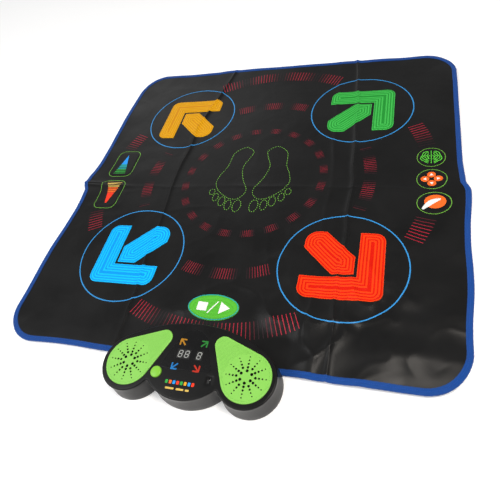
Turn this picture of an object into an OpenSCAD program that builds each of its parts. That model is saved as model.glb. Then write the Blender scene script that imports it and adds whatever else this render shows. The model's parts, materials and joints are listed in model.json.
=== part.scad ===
// Soft dance mat with a three-lobed sound console clamped to its front edge.
// Origin: centre of the mat's underside. +Z up, +Y away from the console, millimetres.

/* [Mat] */
// Width of the mat across X
mat_w = 920; // [760:10:1200]
// Depth of the mat along Y
mat_d = 920; // [760:10:1200]
// Corner radius of the mat
mat_corner_r = 80; // [40:1:120]
// Thickness of the non-slip backing
backing_t = 0.8; // [0.5:0.1:2]
// Thickness of the printed sensor film
film_t = 0.3; // [0.2:0.05:0.6]
// Thickness of the foam spacer
foam_t = 2.6; // [2.4:0.1:6]
// Thickness of the cover sheet
cover_t = 0.8; // [0.5:0.1:1.5]
// Width of the edge binding
binding_w = 11; // [6:0.5:20]
// Thickness of the binding tape
binding_t = 0.6; // [0.3:0.1:1.2]

/* [Pads] */
// Travel of a pad when it is trodden on
pad_travel = 1.5; // [0.8:0.1:2]
// Gap between a pad and the cut-out it moves in
pad_gap = 0.4; // [0.3:0.05:1]
// Thickness of the contact sheet under each pad
contact_t = 0.6; // [0.3:0.1:1]
// Distance of the arrow pads from the middle of the artwork
arrow_spread = 236; // [200:1:240]
// Outside size of an arrow
arrow_size = 158; // [120:1:180]
// Width of an arrow's two head bars
arrow_bar = 49; // [35:1:60]
// Half width of an arrow's shaft, along its edges
arrow_shaft = 42; // [30:1:48]
// Gap between an arrow's head and its shaft
arrow_split = 6; // [3:0.5:10]
// Radius of the round contact under an arrow
arrow_contact_r = 110; // [90:1:114]
// Width of the start pad
start_w = 106; // [80:1:130]
// Depth of the start pad
start_d = 57; // [40:1:70]
// Width of a volume pad
volume_w = 60; // [45:1:66]
// Depth of a volume pad
volume_d = 90; // [60:1:98]
// Radius of a mode pad
mode_r = 27; // [20:0.5:29]

/* [Console] */
// Height of the console over the floor
console_h = 46; // [42:1:56]
// Radius of a speaker lobe
lobe_r = 52.5; // [48:0.5:56]
// Distance of a speaker lobe from the middle
lobe_x = 110; // [104:0.5:116]
// Radius of the middle lobe
mid_r = 88.5; // [84:0.5:92]
// Wall of the two case halves
wall = 2.2; // [1.6:0.1:2.6]
// Height of the upper case's skirt
skirt_h = 8; // [6:0.5:10]
// Step by which the upper case overhangs the lower one
overhang = 0.6; // [0.2:0.1:2]
// Travel of the power button
button_travel = 1.2; // [0.6:0.1:1.6]
// Radius of the power button
button_r = 10; // [7:0.5:10.5]
// Travel of the slide switch
switch_travel = 5; // [3:0.5:5]
// Radius of a speaker
speaker_r = 28.5; // [24:0.5:30]
// Radius of a battery cell
cell_r = 7.1; // [6.5:0.1:7.2]
// Length of a battery cell with its nub
cell_l = 50.5; // [48:0.5:50.5]

/* [Hidden] */
$fn = 48;
eps = 0.01;
arc_steps = 14;

// ---- heights in the mat
film_z = backing_t;
foam_z = film_z + film_t;
cover_z = foam_z + foam_t;
mat_top = cover_z + cover_t;
binding_top = mat_top + binding_t;
contact_gap = 0.25;
contact_z = cover_z - contact_gap - contact_t;
pad_bottom = contact_z + contact_t;
pad_top = mat_top + pad_travel + 0.1;
foam_gap = 0.6;
contact_rim = 4;

// ---- artwork places on the mat
art_y = 7;
volume_x = -376;
volume_y = 56;
mode_x = 398;
mode_pitch = 67;
start_y = -352;
arrow_corner_r = 20;
arrow_end_r = 20;
arrow_shaft_r = 26;
volume_corner_r = 12;

// ---- console outline, in the console's own frame: y = 0 is the mat's front edge
console_y = -mat_d / 2;
lobe_y = -26.5;
mid_y = 8;
back_y = 59.5;
notch_r = 4;
back_rise = back_y - lobe_y;
back_r = (lobe_x * lobe_x + back_rise * back_rise - lobe_r * lobe_r)
       / (2 * (back_rise - lobe_r));
back_cy = back_y - back_r;

// ---- console heights
foot_proud = 1;
base_z = foot_proud;
floor_t = 3;
parting_z = console_h - skirt_h;
plate_t = 2.4;
plate_z = console_h - plate_t;
lip_h = 2;
lip_t = 0.8;
lip_gap = 0.2;
case_gap = 0.2;
step_z = binding_top + case_gap;
step_t = 2.2;
step_y = -1.5;
lower_in = overhang + wall;
upper_in = lower_in - lip_t - lip_gap;

// ---- things on the console's top
grille_x = 110;
grille_y = -25.5;
grille_r = 44;
grille_tip_x = 57.5;
grille_tip_y = 25;
grille_tip_r = 15.5;
grille_gap = 0.3;
grille_ledge = 3;
grille_proud = 0.8;
pocket_z = console_h - 1.6;
hole_rows = [[10.5, 2.6], [16.5, 2.2], [22.5, 1.8], [28.5, 1.4], [34.5, 1.1]];
hole_arms = 12;
window_arch_y = 17;
window_arch_r = 29;
window_corner_x = 41;
window_corner_y = -22.5;
window_corner_r = 6;
window_gap = 0.2;
button_x = -51;
button_y = -38.5;
button_gap = 0.4;
button_proud = 3.6;
button_flange = 1.3;
switch_x = 48.5;
switch_y = -40.5;
switch_pocket = [10, 14];
knob = [4.2, 5];
knob_gap = 0.4;
light_x = 20.5;
light_back_y = 21.5;
light_front_y = -24;
digits_y = -0.6;

// ---- boards and fixings
board_t = 1.6;
board_z = plate_z - 10.6;
board_top = board_z + board_t;
board_points = [[-56, 38], [56, 38], [56, -50], [36, -60], [-36, -60], [-56, -50]];
board_holes = [[-50, 32], [50, 32], [-30, -52], [30, -52]];
display_h = 8;
display_d = 19;
two_digit_w = 25.2;
one_digit_w = 12.6;
two_digit_x = -10.5;
one_digit_x = 19;
case_posts = [[150, -12], [100, -67], [68, -22]];
post_r = 4.6;
post_top = 20;
post_screw_l = 10;
screw_head_r = 2.8;
screw_r = 1.45;
screw_clear = 0.25;
clamp_y = 20;
clamp_xs = [-52, -18, 18, 52];
clamp_size = [124, 12];
clamp_gap = 0.3;
clamp_post_r = 4;
clamp_post_top = 14;
clamp_screw_r = 1.25;
tail_w = 24;
tail_y = 30;
tail_t = 0.3;
tail_gap = 0.5;
tail_start = 76;
foot_r = 6;
foot_recess = 0.8;
foot_spots = [[128, -46], [88, -46]];

// ---- speakers
speaker_top = plate_z - 1;
flange_t = 1.2;
basket_z = -10;
magnet_r = 14;
magnet_h = 6;

// ---- battery bay
bay = [62, 54];
bay_y = -37;
bay_wall = 1.4;
bay_roof = 1.2;
door_rim = 3;
door_t = 1.6;
door_rebate = 1.8;
door_gap = 0.3;
door_tab = [11, 14];
door_screw_x = bay[0] / 2 + door_rim + 5;
cell_z = base_z + door_t + 0.4 + cell_r;
bay_top = cell_z + cell_r + 0.7;
cell_pitch = 17;
nub_l = 1.5;
plate_size = [9, 9];
tab_t = 0.4;

// ======================================================== outlines as points

// Points on an arc from angle a to angle b.
function arc(c, r, a, b, n = arc_steps) =
    [for (i = [0:n]) [c[0] + r * cos(a + (b - a) * i / n), c[1] + r * sin(a + (b - a) * i / n)]];

// Angle of the direction from p to q, from 0 up to 360.
function heading(p, q) = (atan2(q[1] - p[1], q[0] - p[0]) + 360) % 360;

// The outward normal of the tangent from disc p to disc q, each [x, y, radius].
function tangent(p, q) =
    let (d = norm([q[0] - p[0], q[1] - p[1]]))
    heading(p, q) - acos((p[2] - q[2]) / d);

// Outline around discs that are listed anticlockwise, grown by g.
function belt(discs, g = 0) = [
    for (i = [0:len(discs) - 1])
        let (
            n = len(discs),
            c = discs[i],
            a = tangent(discs[(i + n - 1) % n], c),
            b0 = tangent(c, discs[(i + 1) % n]),
            b = b0 + 360 * ceil((a - b0) / 360)
        )
        each arc([c[0], c[1]], c[2] + g, a, b)
];

// Rectangle of size w by d with corner radius r, grown by g.
function round_rect(w, d, r, g = 0) = belt([
    [w / 2 - r, -d / 2 + r, r], [w / 2 - r, d / 2 - r, r],
    [-w / 2 + r, d / 2 - r, r], [-w / 2 + r, -d / 2 + r, r]
], g);

// Ellipse of size w by d, grown by g.
function oval(w, d, g = 0) =
    [for (a = [0:6:354]) [(w / 2 + g) * cos(a), (d / 2 + g) * sin(a)]];

// Where the small outer fillet between the middle lobe and a speaker lobe has its centre.
notch = let (
    p = [0, mid_y], q = [lobe_x, lobe_y],
    d = norm(q - p), u = (q - p) / d,
    a = mid_r + notch_r, b = lobe_r + notch_r,
    along = (a * a - b * b + d * d) / (2 * d),
    down = sqrt(a * a - along * along)
) p + u * along + [u[1], -u[0]] * down;

// The console's outline, inset by d.
function console_outline(d = 0) =
    let (
        mid = [0, mid_y], right = [lobe_x, lobe_y], left = [-lobe_x, lobe_y],
        left_notch = [-notch[0], notch[1]],
        lobe_start = heading(right, notch) - 360,
        shoulder = heading([0, back_cy], right)
    )
    concat(
        arc(right, lobe_r - d, lobe_start, shoulder, 24),
        arc([0, back_cy], back_r - d, shoulder, 180 - shoulder, 24),
        arc(left, lobe_r - d, 180 - shoulder, 180 - lobe_start, 24),
        arc(left_notch, notch_r + d, heading(left_notch, left),
            heading(left_notch, mid) - 0, 5),
        arc(mid, mid_r - d, heading(mid, left_notch), heading(mid, notch), 20),
        arc(notch, notch_r + d, heading(notch, mid), heading(notch, right), 5)
    );

// Head of an arrow that points to -X -Y, grown by g.
function arrow_head(g = 0) =
    let (s = arrow_size / 2, in = -s + arrow_bar + g, c = arrow_corner_r, e = arrow_end_r)
    concat(
        arc([-s + c, -s + c], c + g, 180, 270, 6),
        arc([s - e, -s + e], e + g, 270, 360, 8),
        [[s + g, in], [in, in], [in, s + g]],
        arc([-s + e, s - e], e + g, 90, 180, 8)
    );

// Shaft of the same arrow, grown by g.
function arrow_tail(g = 0) =
    let (
        s = arrow_size / 2 + g, a = -arrow_size / 2 + arrow_bar + arrow_split - g,
        k = arrow_shaft + g * sqrt(2), r = arrow_shaft_r + g
    )
    concat(
        [[a, a], [a + k, a], [s, s - k]],
        arc([s - r, s - r], r, 0, 90, 8),
        [[s - k, s], [a, a + k]]
    );

window_discs = [
    [window_corner_x, window_corner_y, window_corner_r],
    [0, window_arch_y, window_arch_r],
    [-window_corner_x, window_corner_y, window_corner_r]
];
grille_discs = [
    [grille_x, grille_y, grille_r], [grille_tip_x, grille_tip_y, grille_tip_r]
];

// ============================================================ small helpers

module slab(points, z0, z1) {
    translate([0, 0, z0]) linear_extrude(z1 - z0) polygon(points);
}

module box(x0, x1, y0, y1, z0, z1) {
    translate([x0, y0, z0]) cube([x1 - x0, y1 - y0, z1 - z0]);
}

module rod(r, z0, z1) {
    translate([0, 0, z0]) cylinder(r = r, h = z1 - z0);
}

module on_console() {
    translate([0, console_y, 0]) children();
}

module both_sides() {
    for (s = [-1, 1]) scale_x(s) children();
}

module scale_x(s) {
    mirror([s < 0 ? 1 : 0, 0, 0]) children();
}

module arrow_place(sx, sy) {
    translate([sx * arrow_spread, art_y + sy * arrow_spread, 0])
        mirror([sx > 0 ? 1 : 0, 0, 0]) mirror([0, sy > 0 ? 1 : 0, 0]) children();
}

module place_volume(s) {
    translate([volume_x, art_y + s * volume_y, 0]) children();
}

module place_mode(row) {
    translate([mode_x, row * mode_pitch, 0]) children();
}

module place_start() {
    translate([0, start_y + art_y, 0]) children();
}

// A tube swept along points with a given radius, drawn as one closed mesh.
module lead(path, r, sides = 8) {
    n = len(path);
    function along(i) =
        let (d = path[min(i + 1, n - 1)] - path[max(i - 1, 0)]) d / norm(d);
    function side(t) =
        let (ref = abs(t[2]) > 0.9 ? [1, 0, 0] : [0, 0, 1], s = cross(t, ref)) s / norm(s);
    rings = [
        for (i = [0:n - 1])
            let (t = along(i), u = side(t), v = cross(t, u))
            for (k = [0:sides - 1])
                path[i] + r * (u * cos(360 * k / sides) + v * sin(360 * k / sides))
    ];
    skin = [
        for (i = [0:n - 2], k = [0:sides - 1])
            let (k2 = (k + 1) % sides)
            [i * sides + k, i * sides + k2, (i + 1) * sides + k2, (i + 1) * sides + k]
    ];
    ends = [
        [for (k = [sides - 1:-1:0]) k],
        [for (k = [0:sides - 1]) (n - 1) * sides + k]
    ];
    polyhedron(rings, concat(skin, ends), convexity = 6);
}

// ================================================================== the mat

module mat_layer(inset, z0, z1) {
    slab(round_rect(mat_w, mat_d, mat_corner_r, -inset), z0, z1);
}

// Every pad's outline as a solid, grown by g, between two heights.
module pad_shapes(g, z0, z1) {
    for (sx = [-1, 1], sy = [-1, 1]) arrow_place(sx, sy) {
        slab(arrow_head(g), z0, z1);
        slab(arrow_tail(g), z0, z1);
    }
    place_start() slab(oval(start_w, start_d, g), z0, z1);
    for (s = [-1, 1])
        place_volume(s) slab(round_rect(volume_w, volume_d, volume_corner_r, g), z0, z1);
    for (row = [-1:1]) place_mode(row) rod(mode_r + g, z0, z1);
}

// Every contact's outline as a solid, grown by g, between two heights.
module contact_shapes(g, z0, z1) {
    for (sx = [-1, 1], sy = [-1, 1]) arrow_place(sx, sy) rod(arrow_contact_r + g, z0, z1);
    place_start() slab(oval(start_w, start_d, contact_rim + g), z0, z1);
    for (s = [-1, 1]) place_volume(s)
        slab(round_rect(volume_w, volume_d, volume_corner_r, contact_rim + g), z0, z1);
    for (row = [-1:1]) place_mode(row) rod(mode_r + contact_rim + g, z0, z1);
}

module clamp_space(z0, z1) {
    on_console() box(
        -clamp_size[0] / 2 - clamp_gap, clamp_size[0] / 2 + clamp_gap,
        clamp_y - clamp_size[1] / 2 - clamp_gap, clamp_y + clamp_size[1] / 2 + clamp_gap, z0, z1);
}

module tail_slit(z0, z1) {
    on_console() box(-tail_w / 2 - tail_gap, tail_w / 2 + tail_gap,
        tail_y - tail_gap, tail_y + tail_t + tail_gap, z0, z1);
}

module cover_sheet() {
    color([0.10, 0.10, 0.10]) difference() {
        mat_layer(binding_t, cover_z, mat_top);
        pad_shapes(pad_gap, cover_z - 1, mat_top + 1);
        tail_slit(cover_z - 1, mat_top + 1);
        on_console() for (x = clamp_xs)
            translate([x, clamp_y, 0]) rod(clamp_screw_r + screw_clear, cover_z - 1, mat_top + 1);
    }
}

module foam_spacer() {
    color([0.85, 0.85, 0.82]) difference() {
        mat_layer(binding_t, foam_z, cover_z);
        contact_shapes(foam_gap, foam_z - 1, cover_z + 1);
        clamp_space(foam_z - 1, cover_z + 1);
        on_console() box(-tail_w / 2 - tail_gap, tail_w / 2 + tail_gap,
            tail_y - tail_gap, tail_start + tail_gap, foam_z - 1, cover_z + 1);
    }
}

module sensor_film() {
    color([0.75, 0.78, 0.80]) difference() {
        mat_layer(binding_t, film_z, foam_z);
        clamp_space(film_z - 1, foam_z + 1);
    }
}

module backing_sheet() {
    color([0.16, 0.16, 0.17]) difference() {
        mat_layer(binding_w, 0, backing_t);
        clamp_space(-1, backing_t + 1);
    }
}

module edge_binding() {
    color([0.08, 0.28, 0.62]) difference() {
        mat_layer(0, 0, binding_top);
        mat_layer(binding_t, backing_t, mat_top);
        mat_layer(binding_w, -1, binding_top + 1);
    }
}

module clamp_bar() {
    color([0.2, 0.2, 0.2]) on_console() difference() {
        box(-clamp_size[0] / 2, clamp_size[0] / 2,
            clamp_y - clamp_size[1] / 2, clamp_y + clamp_size[1] / 2, clamp_gap, cover_z);
        for (x = clamp_xs) translate([x, clamp_y, 0]) {
            rod(clamp_screw_r + screw_clear, 0, cover_z + 1);
            rod(screw_head_r + screw_clear, 0, clamp_gap + 1.7);
        }
    }
}

module clamp_screws() {
    color("silver") on_console() for (x = clamp_xs) translate([x, clamp_y, 0]) {
        rod(screw_head_r, clamp_gap + 0.3, clamp_gap + 1.7);
        rod(clamp_screw_r, clamp_gap + 1.7, clamp_post_top - 2);
    }
}

module sensor_tail() {
    color([0.85, 0.55, 0.2]) on_console() {
        box(-tail_w / 2, tail_w / 2, tail_y, tail_start, foam_z, foam_z + tail_t);
        box(-tail_w / 2, tail_w / 2, tail_y, tail_y + tail_t, foam_z + tail_t, board_z - 3);
    }
}

// ================================================================= the pads

module arrow_pad(sx, sy, paint) {
    color(paint) arrow_place(sx, sy) {
        slab(arrow_head(), pad_bottom, pad_top);
        slab(arrow_tail(), pad_bottom, pad_top);
    }
}

module arrow_contact(sx, sy) {
    color([0.3, 0.3, 0.32]) arrow_place(sx, sy)
        rod(arrow_contact_r, contact_z, pad_bottom);
}

module start_pad() {
    color([0.35, 0.74, 0.16]) place_start()
        slab(oval(start_w, start_d), pad_bottom, pad_top);
}

module start_contact() {
    color([0.3, 0.3, 0.32]) place_start()
        slab(oval(start_w, start_d, contact_rim), contact_z, pad_bottom);
}

module volume_pad(s) {
    color([0.12, 0.12, 0.12]) place_volume(s)
        slab(round_rect(volume_w, volume_d, volume_corner_r), pad_bottom, pad_top);
}

module volume_contact(s) {
    color([0.3, 0.3, 0.32]) place_volume(s)
        slab(round_rect(volume_w, volume_d, volume_corner_r, contact_rim), contact_z, pad_bottom);
}

module mode_pad(row) {
    color([0.12, 0.12, 0.12]) place_mode(row) rod(mode_r, pad_bottom, pad_top);
}

module mode_contact(row) {
    color([0.3, 0.3, 0.32]) place_mode(row)
        rod(mode_r + contact_rim, contact_z, pad_bottom);
}

// ========================================================= the console's case

module case_screw_spots() {
    for (p = case_posts, s = [-1, 1]) translate([s * p[0], p[1], 0]) children();
}

module upper_case() {
    color([0.07, 0.07, 0.07]) on_console() difference() {
        union() {
            difference() {
                union() {
                    slab(console_outline(0), parting_z, console_h - 1.4);
                    slab(console_outline(0.4), console_h - 1.4, console_h - 0.6);
                    slab(console_outline(1.2), console_h - 0.6, console_h);
                }
                slab(console_outline(upper_in), parting_z - 1, plate_z);
            }
            case_screw_spots() rod(3.6, post_top + case_gap, plate_z + 0.5);
            for (p = board_holes) translate([p[0], p[1], 0]) rod(2.6, board_top, plate_z + 0.5);
        }
        both_sides() {
            slab(belt(grille_discs, grille_gap), pocket_z, console_h + 1);
            slab(belt(grille_discs, -grille_ledge), plate_z - 1, console_h);
        }
        slab(belt(window_discs, window_gap), pocket_z, console_h + 1);
        slab(belt(window_discs, -2), plate_z - 1, console_h);
        translate([button_x, button_y, 0]) rod(button_r + button_gap, plate_z - 1, console_h + 1);
        translate([switch_x, switch_y, 0]) {
            box(-switch_pocket[0] / 2, switch_pocket[0] / 2,
                -switch_pocket[1] / 2, switch_pocket[1] / 2, console_h - 1, console_h + 1);
            box(-knob[0] / 2 - knob_gap, knob[0] / 2 + knob_gap,
                -(knob[1] + switch_travel) / 2 - knob_gap,
                (knob[1] + switch_travel) / 2 + knob_gap, plate_z - 1, console_h);
        }
        case_screw_spots() rod(screw_r + 0.05, post_top - 1, post_top + post_screw_l + 1);
        for (p = board_holes) translate([p[0], p[1], 0]) rod(1.15, board_top - 1, plate_z - 1);
    }
}

module stepped(inset, z0, z1, y_cut, z_cut) {
    difference() {
        slab(console_outline(inset), z0, z1);
        box(-lobe_x - lobe_r, lobe_x + lobe_r, y_cut, back_y + 1, z0 - 1, z_cut);
    }
}

module lower_case() {
    color([0.2, 0.2, 0.2]) on_console() difference() {
        union() {
            difference() {
                stepped(overhang, base_z, parting_z, step_y, step_z);
                stepped(lower_in, base_z + floor_t, parting_z + 1, step_y - step_t, step_z + step_t);
            }
            difference() {
                slab(console_outline(lower_in - lip_t), parting_z, parting_z + lip_h);
                slab(console_outline(lower_in), parting_z - 1, parting_z + lip_h + 1);
            }
            difference() {
                slab(console_outline(lower_in - lip_t), parting_z - 2, parting_z);
                slab(console_outline(lower_in), parting_z - 3, parting_z + 1);
            }
            case_screw_spots() rod(post_r, base_z + 1, post_top);
            for (x = clamp_xs) translate([x, clamp_y, 0]) rod(clamp_post_r, mat_top, clamp_post_top);
            box(-bay[0] / 2 - bay_wall, bay[0] / 2 + bay_wall, bay_y - bay[1] / 2 - bay_wall,
                bay_y + bay[1] / 2 + bay_wall, base_z + 1, bay_top + bay_roof);
            translate([door_screw_x, bay_y, 0]) rod(3.4, base_z + 1, 11);
        }
        box(-bay[0] / 2, bay[0] / 2, bay_y - bay[1] / 2, bay_y + bay[1] / 2, 0, bay_top);
        door_shape(door_gap, 0, base_z + door_rebate);
        translate([door_screw_x, bay_y, 0]) rod(1.25, 0, 10);
        case_screw_spots() {
            rod(screw_r + screw_clear, 0, post_top + 1);
            rod(screw_head_r + screw_clear, 0, base_z + floor_t + 0.4);
        }
        for (x = clamp_xs) translate([x, clamp_y, 0])
            rod(clamp_screw_r + 0.05, mat_top - 1, clamp_post_top - 1);
        translate([0, -console_y, 0]) tail_slit(step_z - 1, step_z + step_t + 1);
        for (p = foot_spots, s = [-1, 1]) translate([s * p[0], p[1], 0])
            rod(foot_r + 0.1, 0, base_z + foot_recess);
    }
}

module grille(s) {
    color([0.45, 0.80, 0.33]) on_console() scale_x(s) difference() {
        slab(belt(grille_discs), pocket_z, console_h + grille_proud);
        translate([grille_x, grille_y, 0])
            for (k = [0:hole_arms - 1], i = [k % 2:len(hole_rows) - 1])
                rotate([0, 0, 90 + k * 360 / hole_arms]) translate([hole_rows[i][0], 0, 0])
                    rod(hole_rows[i][1], pocket_z - 1, console_h + grille_proud + 1);
    }
}

module display_window() {
    color([0.03, 0.03, 0.03]) on_console()
        slab(belt(window_discs), pocket_z, console_h);
}

module power_button() {
    color([0.45, 0.78, 0.2]) on_console() translate([button_x, button_y, 0]) {
        rod(3, plate_z - 4, plate_z - 2.8);
        rod(button_r + button_flange, plate_z - 2.8, plate_z - 1.6);
        rod(button_r, plate_z - 1.6, console_h + button_proud - 1);
        rod(button_r - 1, console_h + button_proud - 1, console_h + button_proud);
    }
}

module switch_knob() {
    color([0.05, 0.05, 0.05]) on_console()
        translate([switch_x, switch_y - switch_travel / 2, 0])
            box(-knob[0] / 2, knob[0] / 2, -knob[1] / 2, knob[1] / 2,
                board_top + 5.3, console_h + 0.2);
}

module rubber_feet() {
    color([0.1, 0.1, 0.1]) on_console() for (p = foot_spots, s = [-1, 1])
        translate([s * p[0], p[1], 0]) rod(foot_r, 0, base_z + foot_recess);
}

module case_screws() {
    color("silver") on_console() case_screw_spots() {
        rod(screw_head_r, base_z + floor_t - 1.6, base_z + floor_t + 0.4);
        rod(screw_r, base_z + floor_t + 0.4, post_top + post_screw_l);
    }
}

// =================================================================== boards

module main_board() {
    color([0.1, 0.35, 0.2]) on_console() difference() {
        slab(board_points, board_z, board_top);
        for (p = board_holes) translate([p[0], p[1], 0]) rod(1.3, board_z - 1, board_top + 1);
    }
}

module board_screws() {
    color("silver") on_console() for (p = board_holes) translate([p[0], p[1], 0]) {
        rod(2.2, board_z - 1.4, board_z);
        rod(1.1, board_z, plate_z - 2);
    }
}

module digit_module(x, w) {
    color([0.25, 0.25, 0.25]) on_console()
        box(x - w / 2, x + w / 2, digits_y - display_d / 2, digits_y + display_d / 2,
            board_top, board_top + display_h);
}

module arrow_leds() {
    color([0.9, 0.9, 0.9]) on_console()
        for (x = [-light_x, light_x], y = [light_front_y, light_back_y])
            translate([x, y, 0]) {
                rod(2.9, board_top, board_top + 1);
                rod(2.5, board_top + 1, board_top + 6);
                translate([0, 0, board_top + 6]) difference() {
                    sphere(r = 2.5);
                    translate([0, 0, -5]) cube(10, center = true);
                }
            }
}

module tact_switch() {
    color([0.15, 0.15, 0.15]) on_console() translate([button_x, button_y, 0]) {
        box(-3, 3, -3, 3, board_top, board_top + 3);
        rod(1.7, board_top + 3, plate_z - 4 - button_travel - 0.3);
    }
}

module slide_switch() {
    color("silver") on_console() translate([switch_x, switch_y, 0])
        box(-4.5, 4.5, -6.5, 6.5, board_top, board_top + 5);
}

module tail_connector() {
    color([0.95, 0.95, 0.9]) on_console() difference() {
        box(-tail_w / 2 - 2, tail_w / 2 + 2, tail_y - 3, tail_y + 3, board_z - 5, board_z);
        box(-tail_w / 2 - 0.1, tail_w / 2 + 0.1, tail_y - 0.1, tail_y + tail_t + 0.1,
            board_z - 6, board_z - 2.9);
    }
}

module board_components() {
    color([0.12, 0.12, 0.12]) on_console() {
        box(-9, 9, 4, 14, board_z - 2, board_z);
        box(-40, -30, 8, 16, board_z - 3, board_z);
        for (x = [-24, 24]) translate([x, -6, 0]) rod(3, board_z - 6, board_z);
        box(35, 40.8, -14, -7, board_z - 5, board_z);
        box(-40.8, -35, -14, -7, board_z - 5, board_z);
    }
}

// ================================================================= speakers

module at_speaker(s) {
    on_console() translate([s * grille_x, grille_y, speaker_top]) scale_x(s) children();
}

module speaker_frame(s) {
    foot = magnet_r + 2;
    color([0.3, 0.3, 0.32]) at_speaker(s) {
        rotate_extrude() polygon([
            [speaker_r - 3.5, -flange_t], [speaker_r - 3.5, 0], [speaker_r, 0],
            [speaker_r, -flange_t], [speaker_r - 2.5, -flange_t], [foot, basket_z],
            [foot, basket_z - 0.8], [6, basket_z - 0.8], [6, basket_z],
            [foot - 0.8, basket_z]
        ]);
        box(-speaker_r + 2, -speaker_r + 5.5, 8, 13, -5.6, -flange_t);
    }
}

module speaker_cone(s) {
    color([0.12, 0.12, 0.13]) at_speaker(s) rotate_extrude() polygon([
        [0, -6.6], [7, -6.6], [speaker_r - 5, -2.2], [speaker_r - 3.6, -1.1],
        [speaker_r - 3.6, -0.4], [speaker_r - 5, -0.1], [speaker_r - 6.5, -1],
        [7.6, -5.4], [5, -3.9], [0, -3.2]
    ]);
}

module speaker_magnet(s) {
    color([0.5, 0.5, 0.52]) at_speaker(s)
        rod(magnet_r, basket_z - 0.8 - magnet_h, basket_z - 0.8);
}

module speaker_gaskets() {
    color([0.15, 0.15, 0.15]) for (s = [-1, 1]) at_speaker(s) difference() {
        rod(speaker_r, 0, plate_z - speaker_top);
        rod(speaker_r - 3.5, -1, plate_z - speaker_top + 1);
    }
}

// ================================================================ batteries

// The door's outline with its screw tab, grown by g, as a solid.
module door_shape(g, z0, z1) {
    box(-bay[0] / 2 - door_rim - g, bay[0] / 2 + door_rim + g,
        bay_y - bay[1] / 2 - door_rim - g, bay_y + bay[1] / 2 + door_rim + g, z0, z1);
    box(bay[0] / 2 - 1, bay[0] / 2 + door_tab[0] + g, bay_y - door_tab[1] / 2 - g,
        bay_y + door_tab[1] / 2 + g, z0, z1);
}

module battery_door() {
    color([0.18, 0.18, 0.18]) on_console() difference() {
        door_shape(0, base_z, base_z + door_t);
        translate([door_screw_x, bay_y, 0]) {
            rod(1.45, 0, base_z + door_t + 1);
            rod(2.8, 0, base_z + 1);
        }
    }
}

module door_screw() {
    color("silver") on_console() translate([door_screw_x, bay_y, 0]) {
        rod(2.6, base_z + 0.2, base_z + 1);
        rod(1.2, base_z + 1, 9);
    }
}

module cell_rows() {
    for (k = [-1:1]) translate([0, bay_y + k * cell_pitch, cell_z])
        rotate([0, 0, k == 0 ? 180 : 0]) children();
}

module battery_cells() {
    color([0.75, 0.6, 0.2]) on_console() cell_rows() rotate([0, 90, 0]) {
        rod(cell_r, -cell_l / 2, cell_l / 2 - nub_l);
        rod(2.7, cell_l / 2 - nub_l, cell_l / 2);
    }
}

module battery_plates() {
    half = bay[0] / 2;
    color("silver") on_console() cell_rows() {
        box(-half, -half + tab_t, -plate_size[0] / 2, plate_size[0] / 2,
            -plate_size[1] / 2, plate_size[1] / 2);
        box(cell_l / 2, cell_l / 2 + tab_t, -plate_size[0] / 2, plate_size[0] / 2,
            -plate_size[1] / 2, plate_size[1] / 2);
        box(cell_l / 2 + tab_t, half, -1, 1, -plate_size[1] / 2, plate_size[1] / 2);
    }
}

module battery_springs() {
    start = -bay[0] / 2 + tab_t + 0.5;
    run = -cell_l / 2 - 0.5 - start;
    turns = 3;
    steps = 12;
    color("silver") on_console() cell_rows() lead([
        for (i = [0:turns * steps])
            let (t = i / (turns * steps), a = 360 * i / steps, r = 4 - 1.6 * t)
            [start + run * t, r * cos(a), r * sin(a)]
    ], 0.4, 6);
}

// ==================================================================== leads

lead_z = board_z - 3;
roof_z = bay_top + bay_roof + 0.75;
speaker_path = [
    [41.7, -10, lead_z], [46, -4, lead_z - 2], [56, 0, lead_z - 4], [68, -2, lead_z - 2],
    [77, -8, plate_z - 8], [grille_x - speaker_r + 1.2, grille_y + 10, plate_z - 5]
];
battery_path = [
    [-22, -14, roof_z], [-24, -14, roof_z + 2], [-28, -12.5, roof_z + 7],
    [-31.5, -11.5, lead_z - 1.5], [-34.6, -11, lead_z]
];

module pair_of_leads(path, r) {
    for (k = [0, 1.8]) lead([for (p = path) [p[0], p[1] + k, p[2]]], r);
}

module speaker_leads() {
    color([0.7, 0.1, 0.1]) on_console() both_sides() pair_of_leads(speaker_path, 0.7);
}

module battery_leads() {
    color([0.7, 0.1, 0.1]) on_console() pair_of_leads(battery_path, 0.7);
}

// ================================================================== drawing

cover_sheet();
foam_spacer();
sensor_film();
backing_sheet();
edge_binding();
clamp_bar();
clamp_screws();
sensor_tail();
arrow_pad(-1, 1, [0.93, 0.62, 0.07]);  // yellow_arrow_pad
arrow_pad(1, 1, [0.15, 0.65, 0.22]);  // green_arrow_pad
arrow_pad(-1, -1, [0.05, 0.62, 0.95]);  // blue_arrow_pad
arrow_pad(1, -1, [0.93, 0.18, 0.03]);  // red_arrow_pad
arrow_contact(-1, 1);  // yellow_contact
arrow_contact(1, 1);  // green_contact
arrow_contact(-1, -1);  // blue_contact
arrow_contact(1, -1);  // red_contact
start_pad();
start_contact();
volume_pad(1);  // volume_up_pad
volume_pad(-1);  // volume_down_pad
volume_contact(1);  // volume_up_contact
volume_contact(-1);  // volume_down_contact
mode_pad(1);  // memory_pad
mode_pad(0);  // pattern_pad
mode_pad(-1);  // challenge_pad
mode_contact(1);  // memory_contact
mode_contact(0);  // pattern_contact
mode_contact(-1);  // challenge_contact
upper_case();
lower_case();
grille(-1);  // left_grille
grille(1);  // right_grille
display_window();
power_button();
switch_knob();
main_board();
digit_module(two_digit_x, two_digit_w);  // two_digit_display
digit_module(one_digit_x, one_digit_w);  // one_digit_display
arrow_leds();
tact_switch();
slide_switch();
tail_connector();
board_components();
board_screws();
case_screws();
rubber_feet();
speaker_frame(-1);  // left_speaker_frame
speaker_frame(1);  // right_speaker_frame
speaker_cone(-1);  // left_speaker_cone
speaker_cone(1);  // right_speaker_cone
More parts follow.
